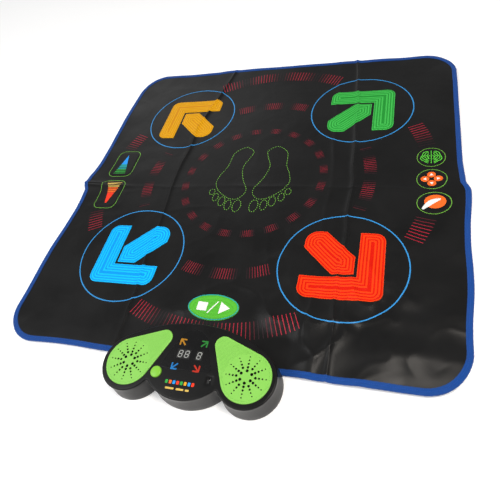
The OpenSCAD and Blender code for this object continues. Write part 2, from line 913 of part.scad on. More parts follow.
speaker_magnet(-1);  // left_speaker_magnet
speaker_magnet(1);  // right_speaker_magnet
speaker_gaskets();
battery_door();
door_screw();
battery_cells();
battery_springs();
battery_plates();
speaker_leads();
battery_leads();
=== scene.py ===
"""Looks of a soft dance mat with a three-lobed sound console clamped to its front edge.

Every size in this file is in millimetres until shape_object() writes the mesh, which is in
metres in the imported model's own frame: +Z up, +Y away from the console, origin at the
centre of the mat's underside.
"""

from __future__ import annotations

import json
import logging
import math
import sys
from dataclasses import dataclass, field
from enum import Enum
from typing import Callable, Iterable, Sequence

import bmesh
import bpy
import numpy as np
from mathutils import Matrix, Vector
from mathutils.geometry import delaunay_2d_cdt

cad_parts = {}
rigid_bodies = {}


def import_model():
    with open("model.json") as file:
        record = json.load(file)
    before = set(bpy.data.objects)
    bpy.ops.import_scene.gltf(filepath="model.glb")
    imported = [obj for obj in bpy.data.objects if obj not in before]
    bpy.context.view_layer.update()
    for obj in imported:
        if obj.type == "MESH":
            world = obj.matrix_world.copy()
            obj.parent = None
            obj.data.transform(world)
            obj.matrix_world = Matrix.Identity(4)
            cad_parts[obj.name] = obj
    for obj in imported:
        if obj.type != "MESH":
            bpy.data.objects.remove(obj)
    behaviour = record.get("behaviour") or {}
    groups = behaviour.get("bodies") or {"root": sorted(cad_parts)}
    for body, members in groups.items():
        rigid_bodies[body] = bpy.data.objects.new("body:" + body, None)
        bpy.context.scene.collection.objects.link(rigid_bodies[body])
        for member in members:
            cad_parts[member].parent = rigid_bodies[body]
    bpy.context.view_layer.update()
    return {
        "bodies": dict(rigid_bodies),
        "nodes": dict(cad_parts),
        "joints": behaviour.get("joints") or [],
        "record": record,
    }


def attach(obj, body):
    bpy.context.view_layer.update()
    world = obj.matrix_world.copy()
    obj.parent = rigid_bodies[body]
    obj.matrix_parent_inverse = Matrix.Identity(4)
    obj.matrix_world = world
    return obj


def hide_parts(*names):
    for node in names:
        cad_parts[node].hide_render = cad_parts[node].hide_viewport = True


MM = 0.001
ROOT = "mat_and_console"
LOG = logging.getLogger("dance_mat")
Array = np.ndarray


# ------------------------------------------------------------------ outlines


def arc(centre: Sequence[float], radius: float, start: float, end: float, count: int) -> Array:
    """Points on a circular arc: centre + radius * (cos a, sin a) for a from start to end.

    Args:
        centre: middle of the circle.
        radius: its radius.
        start: first angle in degrees.
        end: last angle in degrees.
        count: number of steps, which gives count + 1 points.

    Returns:
        The points, one row each.
    """
    angle = np.radians(np.linspace(start, end, count + 1))
    return np.stack([centre[0] + radius * np.cos(angle), centre[1] + radius * np.sin(angle)], 1)


def circle(centre: Sequence[float], radius: float, count: int = 48) -> Array:
    """An anticlockwise closed circle of count points."""
    return arc(centre, radius, 0, 360, count)[:-1]


def oval(centre: Sequence[float], width: float, depth: float, grow: float = 0.0,
         count: int = 72) -> Array:
    """An anticlockwise ellipse: centre + (w/2 cos a, d/2 sin a), each half size grown by grow."""
    unit = circle((0, 0), 1, count)
    return unit * np.array([width / 2 + grow, depth / 2 + grow]) + np.array(centre)


def belt(discs: Sequence[Sequence[float]], grow: float = 0.0, steps: int = 14) -> Array:
    """The outline stretched round discs that are listed anticlockwise.

    Each disc gives an arc from the tangent with the disc before it to the tangent with
    the next one; the outward normal of a tangent is the heading between the two centres
    turned back by acos((r1 - r2) / distance).

    Args:
        discs: x, y and radius of each disc.
        grow: added to every radius, which moves the whole outline outwards.
        steps: steps on each arc, the same for every grow, so that two outlines pair up.

    Returns:
        The anticlockwise outline.
    """

    def normal(p: Sequence[float], q: Sequence[float]) -> float:
        """Angle of the outward normal on the tangent from p to q, in degrees."""
        dx, dy = q[0] - p[0], q[1] - p[1]
        return math.degrees(math.atan2(dy, dx) - math.acos((p[2] - q[2]) / math.hypot(dx, dy)))

    rows = []
    for i, disc in enumerate(discs):
        first = normal(discs[i - 1], disc)
        last = normal(disc, discs[(i + 1) % len(discs)])
        last += 360 * math.ceil((first - last) / 360)
        rows.append(arc(disc[:2], disc[2] + grow, first, last, steps))
    return np.concatenate(rows)


def round_box(centre: Sequence[float], width: float, depth: float, radius: float, grow: float = 0.0,
              steps: int = 8) -> Array:
    """A rectangle with rounded corners, as a belt round four corner discs."""
    x, y = width / 2 - radius, depth / 2 - radius
    discs = [(x, -y, radius), (x, y, radius), (-x, y, radius), (-x, -y, radius)]
    return belt(discs, grow, steps) + np.array(centre)


def subdivide(loop: Array, step: float, closed: bool = True) -> Array:
    """Adds points along each edge, so that none is longer than step, and keeps the corners.

    Point k of an edge cut in n is start + (end - start) * k / n.

    Args:
        loop: the corner points.
        step: longest edge left.
        closed: whether the last point joins the first.

    Returns:
        The finer outline.
    """
    start = loop if closed else loop[:-1]
    end = np.roll(loop, -1, 0) if closed else loop[1:]
    cuts = np.maximum(1, np.ceil(np.linalg.norm(end - start, axis=1) / step).astype(int))
    k = np.arange(cuts.sum()) - np.repeat(np.cumsum(cuts) - cuts, cuts)
    t = (k / np.repeat(cuts, cuts))[:, None]
    fine = np.repeat(start, cuts, 0) * (1 - t) + np.repeat(end, cuts, 0) * t
    return fine if closed else np.concatenate([fine, loop[-1:]])


def travelled(path: Array) -> Array:
    """Length along an open path up to each of its points, from 0."""
    return np.concatenate([[0], np.cumsum(np.linalg.norm(np.diff(path, axis=0), axis=1))])


def follow(path: Array, gone: Array, at: Array) -> Array:
    """Points of a path at the given lengths along it, with gone from travelled()."""
    return np.stack([np.interp(at, gone, path[:, 0]), np.interp(at, gone, path[:, 1])], 1)


def smooth_curve(points: Array, per_span: int = 12) -> Array:
    """A closed Catmull-Rom curve through the points.

    On each span it is 1/2 (2p1 + (p2 - p0) t + (2p0 - 5p1 + 4p2 - p3) t^2
    + (3p1 - p0 - 3p2 + p3) t^3).
    """
    p0, p1, p2, p3 = (np.roll(points, s, 0)[:, None, :] for s in (1, 0, -1, -2))
    t = (np.arange(per_span) / per_span)[None, :, None]
    curve = 0.5 * (2 * p1 + (p2 - p0) * t + (2 * p0 - 5 * p1 + 4 * p2 - p3) * t**2
                   + (3 * p1 - p0 - 3 * p2 + p3) * t**3)
    return curve.reshape(-1, 2)


def edge_distance(points: Array, loops: Iterable[Array]) -> Array:
    """Distance from each point to the nearest edge of closed loops.

    The nearest point of an edge a-b is a + clip((p - a).(b - a) / |b - a|^2, 0, 1) (b - a).
    """
    best = np.full(len(points), np.inf)
    for loop in loops:
        a, ab = loop, np.roll(loop, -1, 0) - loop
        length = np.maximum((ab**2).sum(1), 1e-12)
        for block in np.array_split(np.arange(len(points)),
                                    max(1, len(points) * len(loop) // 4_000_000 + 1)):
            p = points[block][:, None, :]
            t = np.clip(((p - a) * ab).sum(-1) / length, 0, 1)
            gap = np.linalg.norm(p - (a + t[..., None] * ab), axis=-1).min(1)
            best[block] = np.minimum(best[block], gap)
    return best


def inside(points: Array, loop: Array) -> Array:
    """Whether each point is inside a closed loop, by the parity of crossings of a ray to +X."""
    result = np.zeros(len(points), bool)
    near = np.all((points >= loop.min(0)) & (points <= loop.max(0)), axis=1)
    if not near.any():
        return result
    p = points[near][:, None, :]
    a, b = loop, np.roll(loop, -1, 0)
    straddle = (a[:, 1] > p[..., 1]) != (b[:, 1] > p[..., 1])
    rise = np.where(np.abs(b[:, 1] - a[:, 1]) < 1e-12, 1e-12, b[:, 1] - a[:, 1])
    x = a[:, 0] + (p[..., 1] - a[:, 1]) / rise * (b[:, 0] - a[:, 0])
    result[near] = (straddle & (p[..., 0] < x)).sum(1) % 2 == 1
    return result


def smoothstep(low: float, high: float, value: Array) -> Array:
    """3t^2 - 2t^3 with t = clip((value - low) / (high - low), 0, 1)."""
    t = np.clip((value - low) / (high - low), 0.0, 1.0)
    return t * t * (3 - 2 * t)


# ------------------------------------------------------------------- patches


@dataclass
class Patch:
    """A flat region cut into triangles.

    Attributes:
        points: the corner points, one row each.
        triangles: three point numbers per triangle, anticlockwise.
        rims: the point numbers along each loop, the outside first.
    """

    points: Array
    triangles: Array
    rims: list[Array]

    def area(self) -> float:
        """The sum of half the cross product of each triangle's sides."""
        a, b, c = (self.points[self.triangles[:, k]] for k in range(3))
        ab, ac = b - a, c - a
        return float(np.abs(ab[:, 0] * ac[:, 1] - ab[:, 1] * ac[:, 0]).sum() / 2)


def cut_patch(outer: Array, holes: Sequence[Array] = (), step: float | None = None,
              extra: Array | None = None) -> Patch:
    """Triangulates the region inside outer and outside every hole.

    A square grid of points at the given step fills the region; grid points nearer to an
    edge than 0.55 of a step are left out, so that no sliver forms along the edges.

    Args:
        outer: the outside, anticlockwise.
        holes: the holes, in any sense.
        step: grid spacing, or None for no points inside.
        extra: more points to use, where the surface bends sharply.

    Returns:
        The patch, its rims running anticlockwise outside and clockwise round holes.
    """
    loops = [outer] + [hole if signed_area(hole) < 0 else hole[::-1] for hole in holes]
    points, edges, base = [], [], 0
    for loop in loops:
        index = np.arange(len(loop)) + base
        points.append(loop)
        edges.append(np.stack([index, np.roll(index, -1)], 1))
        base += len(loop)
    if step:
        low, high = outer.min(0), outer.max(0)
        nx, ny = (np.maximum(1, np.round((high - low) / step))).astype(int)
        gx, gy = np.meshgrid(np.linspace(low[0], high[0], nx + 1),
                             np.linspace(low[1], high[1], ny + 1))
        grid = np.stack([gx.ravel(), gy.ravel()], 1)
        if extra is not None:
            grid = np.concatenate([grid, extra])
        grid = grid[inside(grid, outer)] if len(outer) < 400 else grid[inside_blocks(grid, outer)]
        for loop in loops:
            margin = 0.55 * step
            near = np.all((grid > loop.min(0) - margin) & (grid < loop.max(0) + margin), axis=1)
            drop = np.zeros(len(grid), bool)
            if near.any():
                close = edge_distance(grid[near], [loop]) < margin
                outside = np.zeros(near.sum(), bool)
                within = outside if loop is loops[0] else inside(grid[near], loop)
                drop[np.flatnonzero(near)[close | within]] = True
            grid = grid[~drop]
        points.append(grid)
    flat = np.concatenate(points)
    corners, _, faces, origin, _, _ = delaunay_2d_cdt(
        [Vector(p) for p in flat.tolist()], np.concatenate(edges).tolist(), [], 0, 1e-7)
    where = np.zeros(len(flat), int)
    for new, old in enumerate(origin):
        where[old] = new
    xy = np.array([tuple(c) for c in corners])
    triangles = np.array([f for f in faces if len(f) == 3], int)
    middle = xy[triangles].mean(1)
    keep = inside_blocks(middle, outer)
    for hole in loops[1:]:
        keep &= ~inside(middle, hole)
    triangles = triangles[keep]
    a, b, c = (xy[triangles[:, k]] for k in range(3))
    turn = (b - a)[:, 0] * (c - a)[:, 1] - (b - a)[:, 1] * (c - a)[:, 0]
    triangles[turn < 0] = triangles[turn < 0][:, ::-1]
    base, rims = 0, []
    for loop in loops:
        rims.append(where[base:base + len(loop)])
        base += len(loop)
    return Patch(xy, triangles, rims)


def signed_area(loop: Array) -> float:
    """Half the sum of x_i y_(i+1) - x_(i+1) y_i, positive when anticlockwise."""
    nxt = np.roll(loop, -1, 0)
    return float((loop[:, 0] * nxt[:, 1] - nxt[:, 0] * loop[:, 1]).sum() / 2)


def inside_blocks(points: Array, loop: Array, block: int = 8000) -> Array:
    """inside(), worked out a block of points at a time to keep its tables small."""
    parts = [inside(points[i:i + block], loop) for i in range(0, len(points), block)]
    return np.concatenate(parts) if parts else np.zeros(0, bool)


# -------------------------------------------------------------------- meshes


@dataclass
class Shape:
    """Corner points and faces that are joined up piece by piece before they become a mesh.

    Attributes:
        points: blocks of corner points in millimetres.
        faces: blocks of faces, three or four numbers each.
        marks: blocks of one number per corner, for patterns that follow the shape.
        slots: material slot number of each block of faces.
    """

    points: list[Array] = field(default_factory=list)
    faces: list[Array] = field(default_factory=list)
    marks: list[Array] = field(default_factory=list)
    slots: list[int] = field(default_factory=list)

    def count(self) -> int:
        """Number of corner points so far."""
        return sum(len(p) for p in self.points)

    def add(self, points: Array, faces: Sequence[Array], slot: int = 0,
            mark: Array | float = 0.0) -> None:
        """Adds a block.

        Args:
            points: its corners.
            faces: its faces, which number its own corners from 0.
            slot: the material slot of its faces.
            mark: one number per corner, or one for all.
        """
        base = self.count()
        self.points.append(np.asarray(points, float))
        self.marks.append(np.broadcast_to(np.asarray(mark, float), (len(points),)))
        for block in faces:
            if len(block):
                self.faces.append(np.asarray(block, int) + base)
                self.slots.append(slot)

    def add_rings(self, rings: Array, slot: int = 0, mark: Array | float = 0.0, close: bool = True,
                  cap: bool = False) -> None:
        """Adds a surface through rings of equal length.

        Quad (i, j) joins point j and j + 1 of ring i to those of ring i + 1. The normal
        points outwards when the rings run anticlockwise and are listed from below upwards.

        Args:
            rings: array of ring, point, coordinate.
            slot: the material slot.
            mark: one number per corner, or one for all.
            close: whether each ring's last point joins its first.
            cap: closes the last ring with a fan to its middle.
        """
        k, n, _ = rings.shape
        index = np.arange(k * n).reshape(k, n)
        nxt = np.roll(index, -1, 1) if close else index
        a, b = index[:-1], nxt[:-1]
        c, d = nxt[1:], index[1:]
        if not close:
            a, b, c, d = index[:-1, :-1], index[:-1, 1:], index[1:, 1:], index[1:, :-1]
        quads = np.stack([a, b, c, d], -1).reshape(-1, 4)
        points, faces = rings.reshape(-1, 3), [quads]
        if cap:
            points = np.concatenate([points, rings[-1].mean(0)[None]])
            last = index[-1]
            fan = np.stack([last, np.roll(last, -1), np.full(n, k * n)], 1)
            faces.append(fan)
            if np.ndim(mark):
                mark = np.concatenate([np.asarray(mark), [np.asarray(mark)[-n:].mean()]])
        self.add(points, faces, slot, mark)

    def add_patch(self, patch: Patch, z: Array | float, up: bool = True, slot: int = 0,
                  mark: Array | float = 0.0) -> None:
        """Adds a flat patch at height z, facing up or down."""
        points = np.column_stack([patch.points, np.broadcast_to(z, (len(patch.points),))])
        self.add(points, [patch.triangles if up else patch.triangles[:, ::-1]], slot, mark)


def shape_object(name: str, shape: Shape, finishes: Sequence[bpy.types.Material],
                 sharp: float = 35.0,
                 weld: float = 0.0, attribute: str | None = None,
                 uv: Array | None = None) -> bpy.types.Object:
    """Writes a shape as a mesh object in metres, at the origin.

    Args:
        name: the piece's name.
        shape: its corners and faces.
        finishes: its material slots.
        sharp: edges that turn by more than this many degrees stay sharp.
        weld: corners nearer than this are merged, in millimetres.
        attribute: stores the marks under this name.
        uv: one pair per corner point, written to every face corner that uses it.

    Returns:
        The new object.
    """
    points = np.concatenate(shape.points) * MM
    mesh = bpy.data.meshes.new(name)
    mesh.vertices.add(len(points))
    mesh.vertices.foreach_set("co", points.astype(np.float32).ravel())
    totals = np.concatenate([np.full(len(f), f.shape[1]) for f in shape.faces])
    corners = np.concatenate([f.ravel() for f in shape.faces])
    mesh.loops.add(len(corners))
    mesh.loops.foreach_set("vertex_index", corners.astype(np.int32))
    mesh.polygons.add(len(totals))
    mesh.polygons.foreach_set("loop_start", (np.cumsum(totals) - totals).astype(np.int32))
    slots = np.concatenate([np.full(len(f), s) for f, s in zip(shape.faces, shape.slots)])
    mesh.polygons.foreach_set("material_index", slots.astype(np.int32))
    mesh.polygons.foreach_set("use_smooth", np.ones(len(totals), bool))
    if attribute:
        mark = mesh.attributes.new(attribute, "FLOAT", "POINT")
        mark.data.foreach_set("value", np.concatenate(shape.marks).astype(np.float32))
    if uv is not None:
        layer = mesh.uv_layers.new(name="UVMap")
        layer.data.foreach_set("uv", uv[corners].astype(np.float32).ravel())
    mesh.update(calc_edges=True)
    mesh.validate()
    if weld:
        merge_corners(mesh, weld * MM)
    mesh.set_sharp_from_angle(angle=math.radians(sharp))
    for finish in finishes:
        mesh.materials.append(finish)
    piece = bpy.data.objects.new(name, mesh)
    bpy.context.scene.collection.objects.link(piece)
    LOG.info("%s: %d corners, %d faces", name, len(mesh.vertices), len(mesh.polygons))
    return piece


def merge_corners(mesh: bpy.types.Mesh, distance: float) -> None:
    """Merges corners that are nearer than distance, in metres."""
    work = bmesh.new()
    work.from_mesh(mesh)
    bmesh.ops.remove_doubles(work, verts=work.verts, dist=distance)
    work.to_mesh(mesh)
    work.free()


def fillet(inset: float, low: float, radius: float, count: int = 5) -> list[tuple[float, float]]:
    """A quarter round from a wall to a top face, as pairs of inset and height.

    Pair k is (inset + r (1 - cos a), low + r sin a) for a from 0 to 90 degrees.
    """
    angle = np.radians(np.linspace(0, 90, count + 1))
    return list(zip(inset + radius * (1 - np.cos(angle)), low + radius * np.sin(angle)))


def stack(outline: Callable[[float], Array], profile: Sequence[tuple[float, float]]) -> Array:
    """Rings for a profile carried round an outline: ring k is outline(inset_k) at height_k."""
    return np.stack([ring_at(outline(inset), z) for inset, z in profile])


# ----------------------------------------------------------------- materials


Colour = tuple[float, float, float]


class Nodes:
    """A material with short calls for its nodes.

    Attributes:
        material: the material that is being built.
        shader: its Principled BSDF.
    """

    def __init__(self, name: str) -> None:
        """Starts a material with a shader joined to its output."""
        self.material = bpy.data.materials.new(name)
        self.material.use_nodes = True
        self.tree = self.material.node_tree
        self.tree.nodes.clear()
        self.shader = self.tree.nodes.new("ShaderNodeBsdfPrincipled")
        output = self.tree.nodes.new("ShaderNodeOutputMaterial")
        self.tree.links.new(self.shader.outputs[0], output.inputs[0])
        self.coords = self.tree.nodes.new("ShaderNodeTexCoord")

    def make(self, kind: str, **settings: object) -> bpy.types.Node:
        """Adds a node and sets its properties."""
        node = self.tree.nodes.new(kind)
        for key, value in settings.items():
            setattr(node, key, value)
        return node

    def join(self, source: object, target: bpy.types.NodeSocket) -> None:
        """Sets a socket from a number or colour, or links it to another socket."""
        if isinstance(source, bpy.types.NodeSocket):
            self.tree.links.new(source, target)
        elif isinstance(source, tuple):
            target.default_value = (*source, 1.0) if len(target.default_value) == 4 else source
        else:
            target.default_value = source

    def maths(self, operation: str, *values: object) -> bpy.types.NodeSocket:
        """A Math node on up to three numbers or sockets."""
        node = self.make("ShaderNodeMath", operation=operation)
        for value, socket in zip(values, node.inputs):
            self.join(value, socket)
        return node.outputs[0]

    def place(self, stretch: tuple[float, float, float] = (1, 1, 1),
              source: str = "Object") -> bpy.types.NodeSocket:
        """Object or UV coordinates, stretched along each axis."""
        if stretch == (1, 1, 1):
            return self.coords.outputs[source]
        node = self.make("ShaderNodeMapping")
        self.join(self.coords.outputs[source], node.inputs["Vector"])
        node.inputs["Scale"].default_value = stretch
        return node.outputs[0]

    def grain(self, size: float, detail: float = 4, rough: float = 0.55, warp: float = 0.0,
              where: bpy.types.NodeSocket | None = None) -> bpy.types.NodeSocket:
        """Noise from 0 to 1 whose features are about size millimetres."""
        node = self.make("ShaderNodeTexNoise")
        self.join(where or self.coords.outputs["Object"], node.inputs["Vector"])
        for key, value in (("Scale", 1000 / size), ("Detail", detail), ("Roughness", rough),
                           ("Distortion", warp)):
            node.inputs[key].default_value = value
        return node.outputs["Fac"]

    def cells(self, size: float, feature: str = "F1",
              where: bpy.types.NodeSocket | None = None) -> bpy.types.NodeSocket:
        """Distance to the middles or edges of Voronoi cells of about size millimetres."""
        node = self.make("ShaderNodeTexVoronoi", feature=feature)
        self.join(where or self.coords.outputs["Object"], node.inputs["Vector"])
        node.inputs["Scale"].default_value = 1000 / size
        return node.outputs["Distance"]

    def attribute(self, name: str) -> bpy.types.NodeSocket:
        """A number that the mesh carries at its corners."""
        return self.make("ShaderNodeAttribute", attribute_name=name).outputs["Fac"]

    def span(self, value: bpy.types.NodeSocket, low: float, high: float, start: float = 0.0,
             end: float = 1.0) -> bpy.types.NodeSocket:
        """Carries low..high over to start..end, held at both ends."""
        node = self.make("ShaderNodeMapRange", clamp=True)
        for number, socket in zip((value, low, high, start, end), node.inputs):
            self.join(number, socket)
        return node.outputs[0]

    def mix(self, share: object, first: object, second: object) -> bpy.types.NodeSocket:
        """A colour between two colours."""
        node = self.make("ShaderNodeMix", data_type="RGBA")
        self.join(share, node.inputs["Factor"])
        self.join(first, node.inputs[6])
        self.join(second, node.inputs[7])
        return node.outputs[2]

    def relief(self, height: bpy.types.NodeSocket, depth: float,
               below: bpy.types.NodeSocket | None = None,
               strength: float = 1.0) -> bpy.types.NodeSocket:
        """A bump of depth millimetres, on top of another bump when below is given."""
        node = self.make("ShaderNodeBump")
        node.inputs["Strength"].default_value = strength
        node.inputs["Distance"].default_value = depth * MM
        self.join(height, node.inputs["Height"])
        if below is not None:
            self.join(below, node.inputs["Normal"])
        return node.outputs[0]

    def finish(self, **sockets: object) -> bpy.types.Material:
        """Sets the shader's sockets, named with underscores for spaces, and gives the material."""
        for key, value in sockets.items():
            self.join(value, self.shader.inputs[key.replace("_", " ")])
        return self.material


@dataclass(frozen=True)
class SatinSheet:
    """Soft plastic sheet with a fine pebble, crumples and hazy patches.

    Attributes:
        name: the material's name.
        colour: linear colour of the clean sheet.
        haze: linear colour of the scuffed patches.
        gloss: lowest and highest roughness.
        crumple: depth of the soft dents in millimetres.
        shine: strength of its reflections, 0.5 being common plastic.
    """

    name: str
    colour: Colour
    haze: Colour
    gloss: tuple[float, float] = (0.3, 0.46)
    crumple: float = 1.0
    shine: float = 0.17

    def make(self) -> bpy.types.Material:
        """Builds the material."""
        n = Nodes(self.name)
        patches = n.grain(110, 4, 0.55, 0.3)
        soft = n.relief(n.grain(60, 2, 0.45, 0.2), self.crumple)
        fine = n.relief(n.grain(13, 3, 0.5, 0.6), self.crumple * 0.06, soft)
        pebble = n.relief(n.cells(1.3), 0.035, fine)
        scuff = n.span(n.grain(7, 6, 0.7), 0.56, 0.75)
        return n.finish(
            Base_Color=n.mix(n.maths("MULTIPLY", n.span(patches, 0.35, 0.75), 0.8), self.colour,
                             self.haze),
            Roughness=n.maths("ADD", n.span(patches, 0.3, 0.7, *self.gloss),
                              n.maths("MULTIPLY", scuff, 0.05)),
            Specular_IOR_Level=self.shine, Normal=pebble)


@dataclass(frozen=True)
class StripedPrint:
    """Raised print whose stripes run parallel to its edge, from the mesh's inset attribute.

    Attributes:
        name: the material's name.
        colour: linear colour of the wide stripes.
        line: linear colour of the thin lines.
        pitch: distance between lines in millimetres.
        width: share of the pitch that a line takes.
    """

    name: str
    colour: Colour
    line: Colour
    pitch: float = 5.6
    width: float = 0.3

    def make(self) -> bpy.types.Material:
        """Builds the material."""
        n = Nodes(self.name)
        phase = n.maths("FRACT", n.maths("DIVIDE", n.attribute("inset"), self.pitch))
        middle = n.maths("ABSOLUTE", n.maths("SUBTRACT", phase, 0.5))
        line = n.span(middle, self.width / 2 + 0.07, self.width / 2 - 0.07)
        speck = n.span(n.grain(2.4, 5, 0.7), 0.6, 0.75, 0.0, 0.18)
        base = n.mix(speck, n.mix(line, self.colour, self.line),
                     tuple(0.55 * c for c in self.colour))
        wave = n.relief(n.grain(30, 3, 0.5, 0.5), 0.5)
        grooves = n.relief(line, -0.3, wave)
        return n.finish(Base_Color=base, Roughness=n.span(n.grain(40, 4), 0.3, 0.7, 0.42, 0.58),
                        Specular_IOR_Level=0.1, Normal=n.relief(n.cells(1.1), 0.03, grooves))


@dataclass(frozen=True)
class Ink:
    """Screen-printed ink, dimmed where the mesh's fade attribute is high.

    Attributes:
        name: the material's name.
        colour: linear colour.
        faded: linear colour at fade 1.
        rough: roughness in the middle of its range.
        glow: emission strength, for lit figures.
    """

    name: str
    colour: Colour
    faded: Colour | None = None
    rough: float = 0.45
    glow: float = 0.0

    def make(self) -> bpy.types.Material:
        """Builds the material."""
        n = Nodes(self.name)
        worn = n.span(n.grain(1.6, 5, 0.7), 0.52, 0.72, 0.0, 0.3)
        base = n.mix(worn, self.colour, tuple(0.5 * c for c in self.colour))
        if self.faded is not None:
            base = n.mix(n.attribute("fade"), base, self.faded)
        result = n.finish(Base_Color=base,
                          Roughness=n.span(n.grain(9, 4), 0.3, 0.7, self.rough - 0.07,
                                           self.rough + 0.07),
                          Specular_IOR_Level=0.25, Normal=n.relief(n.cells(1.1), 0.02))
        if self.glow:
            n.finish(Emission_Color=base, Emission_Strength=self.glow)
        return result


@dataclass(frozen=True)
class RibbedTape:
    """Woven binding tape, its ribs across its length, on UV in millimetres, with painted shade in
    the grooves between the ribs.

    Attributes:
        name: the material's name.
        colour: linear colour of the crowns of the ribs.
        dark: linear colour between the ribs, painted shade in the grooves.
        pitch: distance between ribs in millimetres.
    """

    name: str
    colour: Colour
    dark: Colour
    pitch: float = 1.6

    def make(self) -> bpy.types.Material:
        """Builds the material."""
        n = Nodes(self.name)
        parts = n.make("ShaderNodeSeparateXYZ")
        n.join(n.coords.outputs["UV"], parts.inputs[0])
        along, across = parts.outputs[0], parts.outputs[1]
        ribs = n.maths("MULTIPLY", along, 2 * math.pi / self.pitch)
        rib = n.span(n.maths("SINE", ribs), -0.9, 0.9)
        twist = n.maths("ADD", n.maths("MULTIPLY", across, 2 * math.pi / 0.55),
                        n.maths("MULTIPLY", along, math.pi / self.pitch))
        thread = n.span(n.maths("SINE", twist), -1, 1)
        pile = n.grain(0.7, 3, 0.7)
        weave = n.maths("ADD", n.maths("MULTIPLY", rib, 0.7), n.maths("MULTIPLY", thread, 0.3))
        wear = n.span(n.grain(38, 4, 0.6), 0.4, 0.7, 0.0, 0.35)
        # painted shade: the colour on the crowns falls to dark in the grooves, on the same weave
        # that makes the bumps
        base = n.mix(wear, n.mix(weave, self.dark, self.colour),
                     tuple(0.7 * c + 0.01 for c in self.colour))
        bumps = n.relief(pile, 0.12, n.relief(weave, 0.28))
        return n.finish(Base_Color=base, Roughness=n.span(pile, 0.3, 0.7, 0.62, 0.8), Normal=bumps,
                        Specular_IOR_Level=0.25, Sheen_Weight=0.08, Sheen_Roughness=0.4)


@dataclass(frozen=True)
class Moulding:
    """Moulded plastic with a fine texture, slow waves and a few scuffs.

    Attributes:
        name: the material's name.
        colour: linear colour.
        scuff: linear colour of scuffs and dust.
        rough: roughness between the scuffs.
        texture: size of the moulded texture in millimetres.
        depth: its depth in millimetres.
        coat: weight of a clear coat.
        clear: how much light passes, for windows and lenses.
        metal: metallic share, for pressed or plated metal.
        shine: strength of its reflections, 0.5 being common plastic.
    """

    name: str
    colour: Colour
    scuff: Colour
    rough: float = 0.3
    texture: float = 0.5
    depth: float = 0.012
    coat: float = 0.0
    clear: float = 0.0
    metal: float = 0.0
    shine: float = 0.4

    def make(self) -> bpy.types.Material:
        """Builds the material."""
        n = Nodes(self.name)
        dust = n.span(n.grain(5, 7, 0.72), 0.55, 0.8)
        slow = n.grain(28, 3, 0.5)
        grain = n.grain(self.texture, 3, 0.6)
        flow = n.relief(slow, min(0.05, 4 * self.depth))
        return n.finish(
            Base_Color=n.mix(n.maths("MULTIPLY", dust, 0.55),
                             n.mix(n.span(slow, 0.3, 0.7, 0, 0.25), self.colour, self.scuff),
                             self.scuff),
            Roughness=n.maths("ADD", n.maths("MULTIPLY", dust, 0.12),
                              n.span(slow, 0.3, 0.7, self.rough - 0.03, self.rough + 0.04)),
            Normal=n.relief(grain, self.depth, flow), Specular_IOR_Level=self.shine,
            Coat_Weight=self.coat, Coat_Roughness=0.08,
            Transmission_Weight=self.clear, Metallic=self.metal)


@dataclass(frozen=True)
class Brushed:
    """Turned or rolled metal with fine lines along one axis.

    Attributes:
        name: the material's name.
        colour: linear colour.
        stretch: how far the lines are drawn out along each axis.
    """

    name: str
    colour: Colour
    stretch: tuple[float, float, float] = (1, 12, 1)

    def make(self) -> bpy.types.Material:
        """Builds the material."""
        n = Nodes(self.name)
        lines = n.grain(0.5, 4, 0.6, 0.0, n.place(self.stretch))
        spots = n.span(n.grain(3, 5, 0.7), 0.5, 0.8)
        return n.finish(Base_Color=n.mix(spots, self.colour, tuple(0.7 * c for c in self.colour)),
                        Metallic=1.0, Roughness=n.span(lines, 0.3, 0.7, 0.24, 0.42),
                        Normal=n.relief(lines, 0.01))


@dataclass(frozen=True)
class Laminate:
    """Circuit board: solder mask over fine tracks.

    Attributes:
        name: the material's name.
        mask: linear colour of the mask.
        track: linear colour over the copper.
    """

    name: str
    mask: Colour
    track: Colour

    def make(self) -> bpy.types.Material:
        """Builds the material."""
        n = Nodes(self.name)
        route = n.cells(7, "DISTANCE_TO_EDGE", n.place((1, 1, 0.02)))
        line = n.span(route, 0.1, 0.06)
        weave = n.grain(0.8, 2, 0.5)
        base = n.mix(line, n.mix(n.span(weave, 0.3, 0.7, 0, 0.3), self.mask, self.track),
                     self.track)
        return n.finish(Base_Color=base, Roughness=n.span(weave, 0.3, 0.7, 0.3, 0.42),
                        Normal=n.relief(line, 0.04), Coat_Weight=0.3, Coat_Roughness=0.15)


class Paint(Enum):
    """Linear colours of the inks, named for what they print."""

    YELLOW = (0.76, 0.34, 0.012)
    GREEN = (0.026, 0.34, 0.045)
    BLUE = (0.012, 0.30, 0.86)
    RED = (0.83, 0.034, 0.006)
    BRIGHT_GREEN = (0.10, 0.60, 0.045)
    TEAL = (0.01, 0.32, 0.33)
    CRIMSON = (0.40, 0.012, 0.035)
    RING_BLUE = (0.03, 0.26, 0.62)
    WHITE = (0.80, 0.80, 0.78)
    ORANGE = (0.82, 0.13, 0.012)
    GOLD = (0.62, 0.42, 0.09)


# --------------------------------------------------------------- mat surface


@dataclass
class Clouds:
    """Smooth seeded noise on a plane.

    The value at (x, y) blends a table of random numbers at the four corners of its cell
    with weights 6t^5 - 15t^4 + 10t^3.

    Attributes:
        seed: picks the table.
    """

    seed: int

    def __post_init__(self) -> None:
        """Fills the table."""
        self.table = np.random.default_rng(self.seed).random((97, 97))

    def at(self, points: Array, size: float, stretch: float = 1.0) -> Array:
        """Values from 0 to 1 at the points, with features of about size millimetres."""
        u = points[:, 0] / size + 31.7
        v = points[:, 1] / (size * stretch) + 17.3
        i, j = np.floor(u).astype(int), np.floor(v).astype(int)
        fu, fv = u - i, v - j
        fu, fv = (t * t * t * (t * (6 * t - 15) + 10) for t in (fu, fv))
        t = self.table
        low = t[i % 97, j % 97] * (1 - fu) + t[(i + 1) % 97, j % 97] * fu
        high = t[i % 97, (j + 1) % 97] * (1 - fu) + t[(i + 1) % 97, (j + 1) % 97] * fu
        return low * (1 - fv) + high * fv


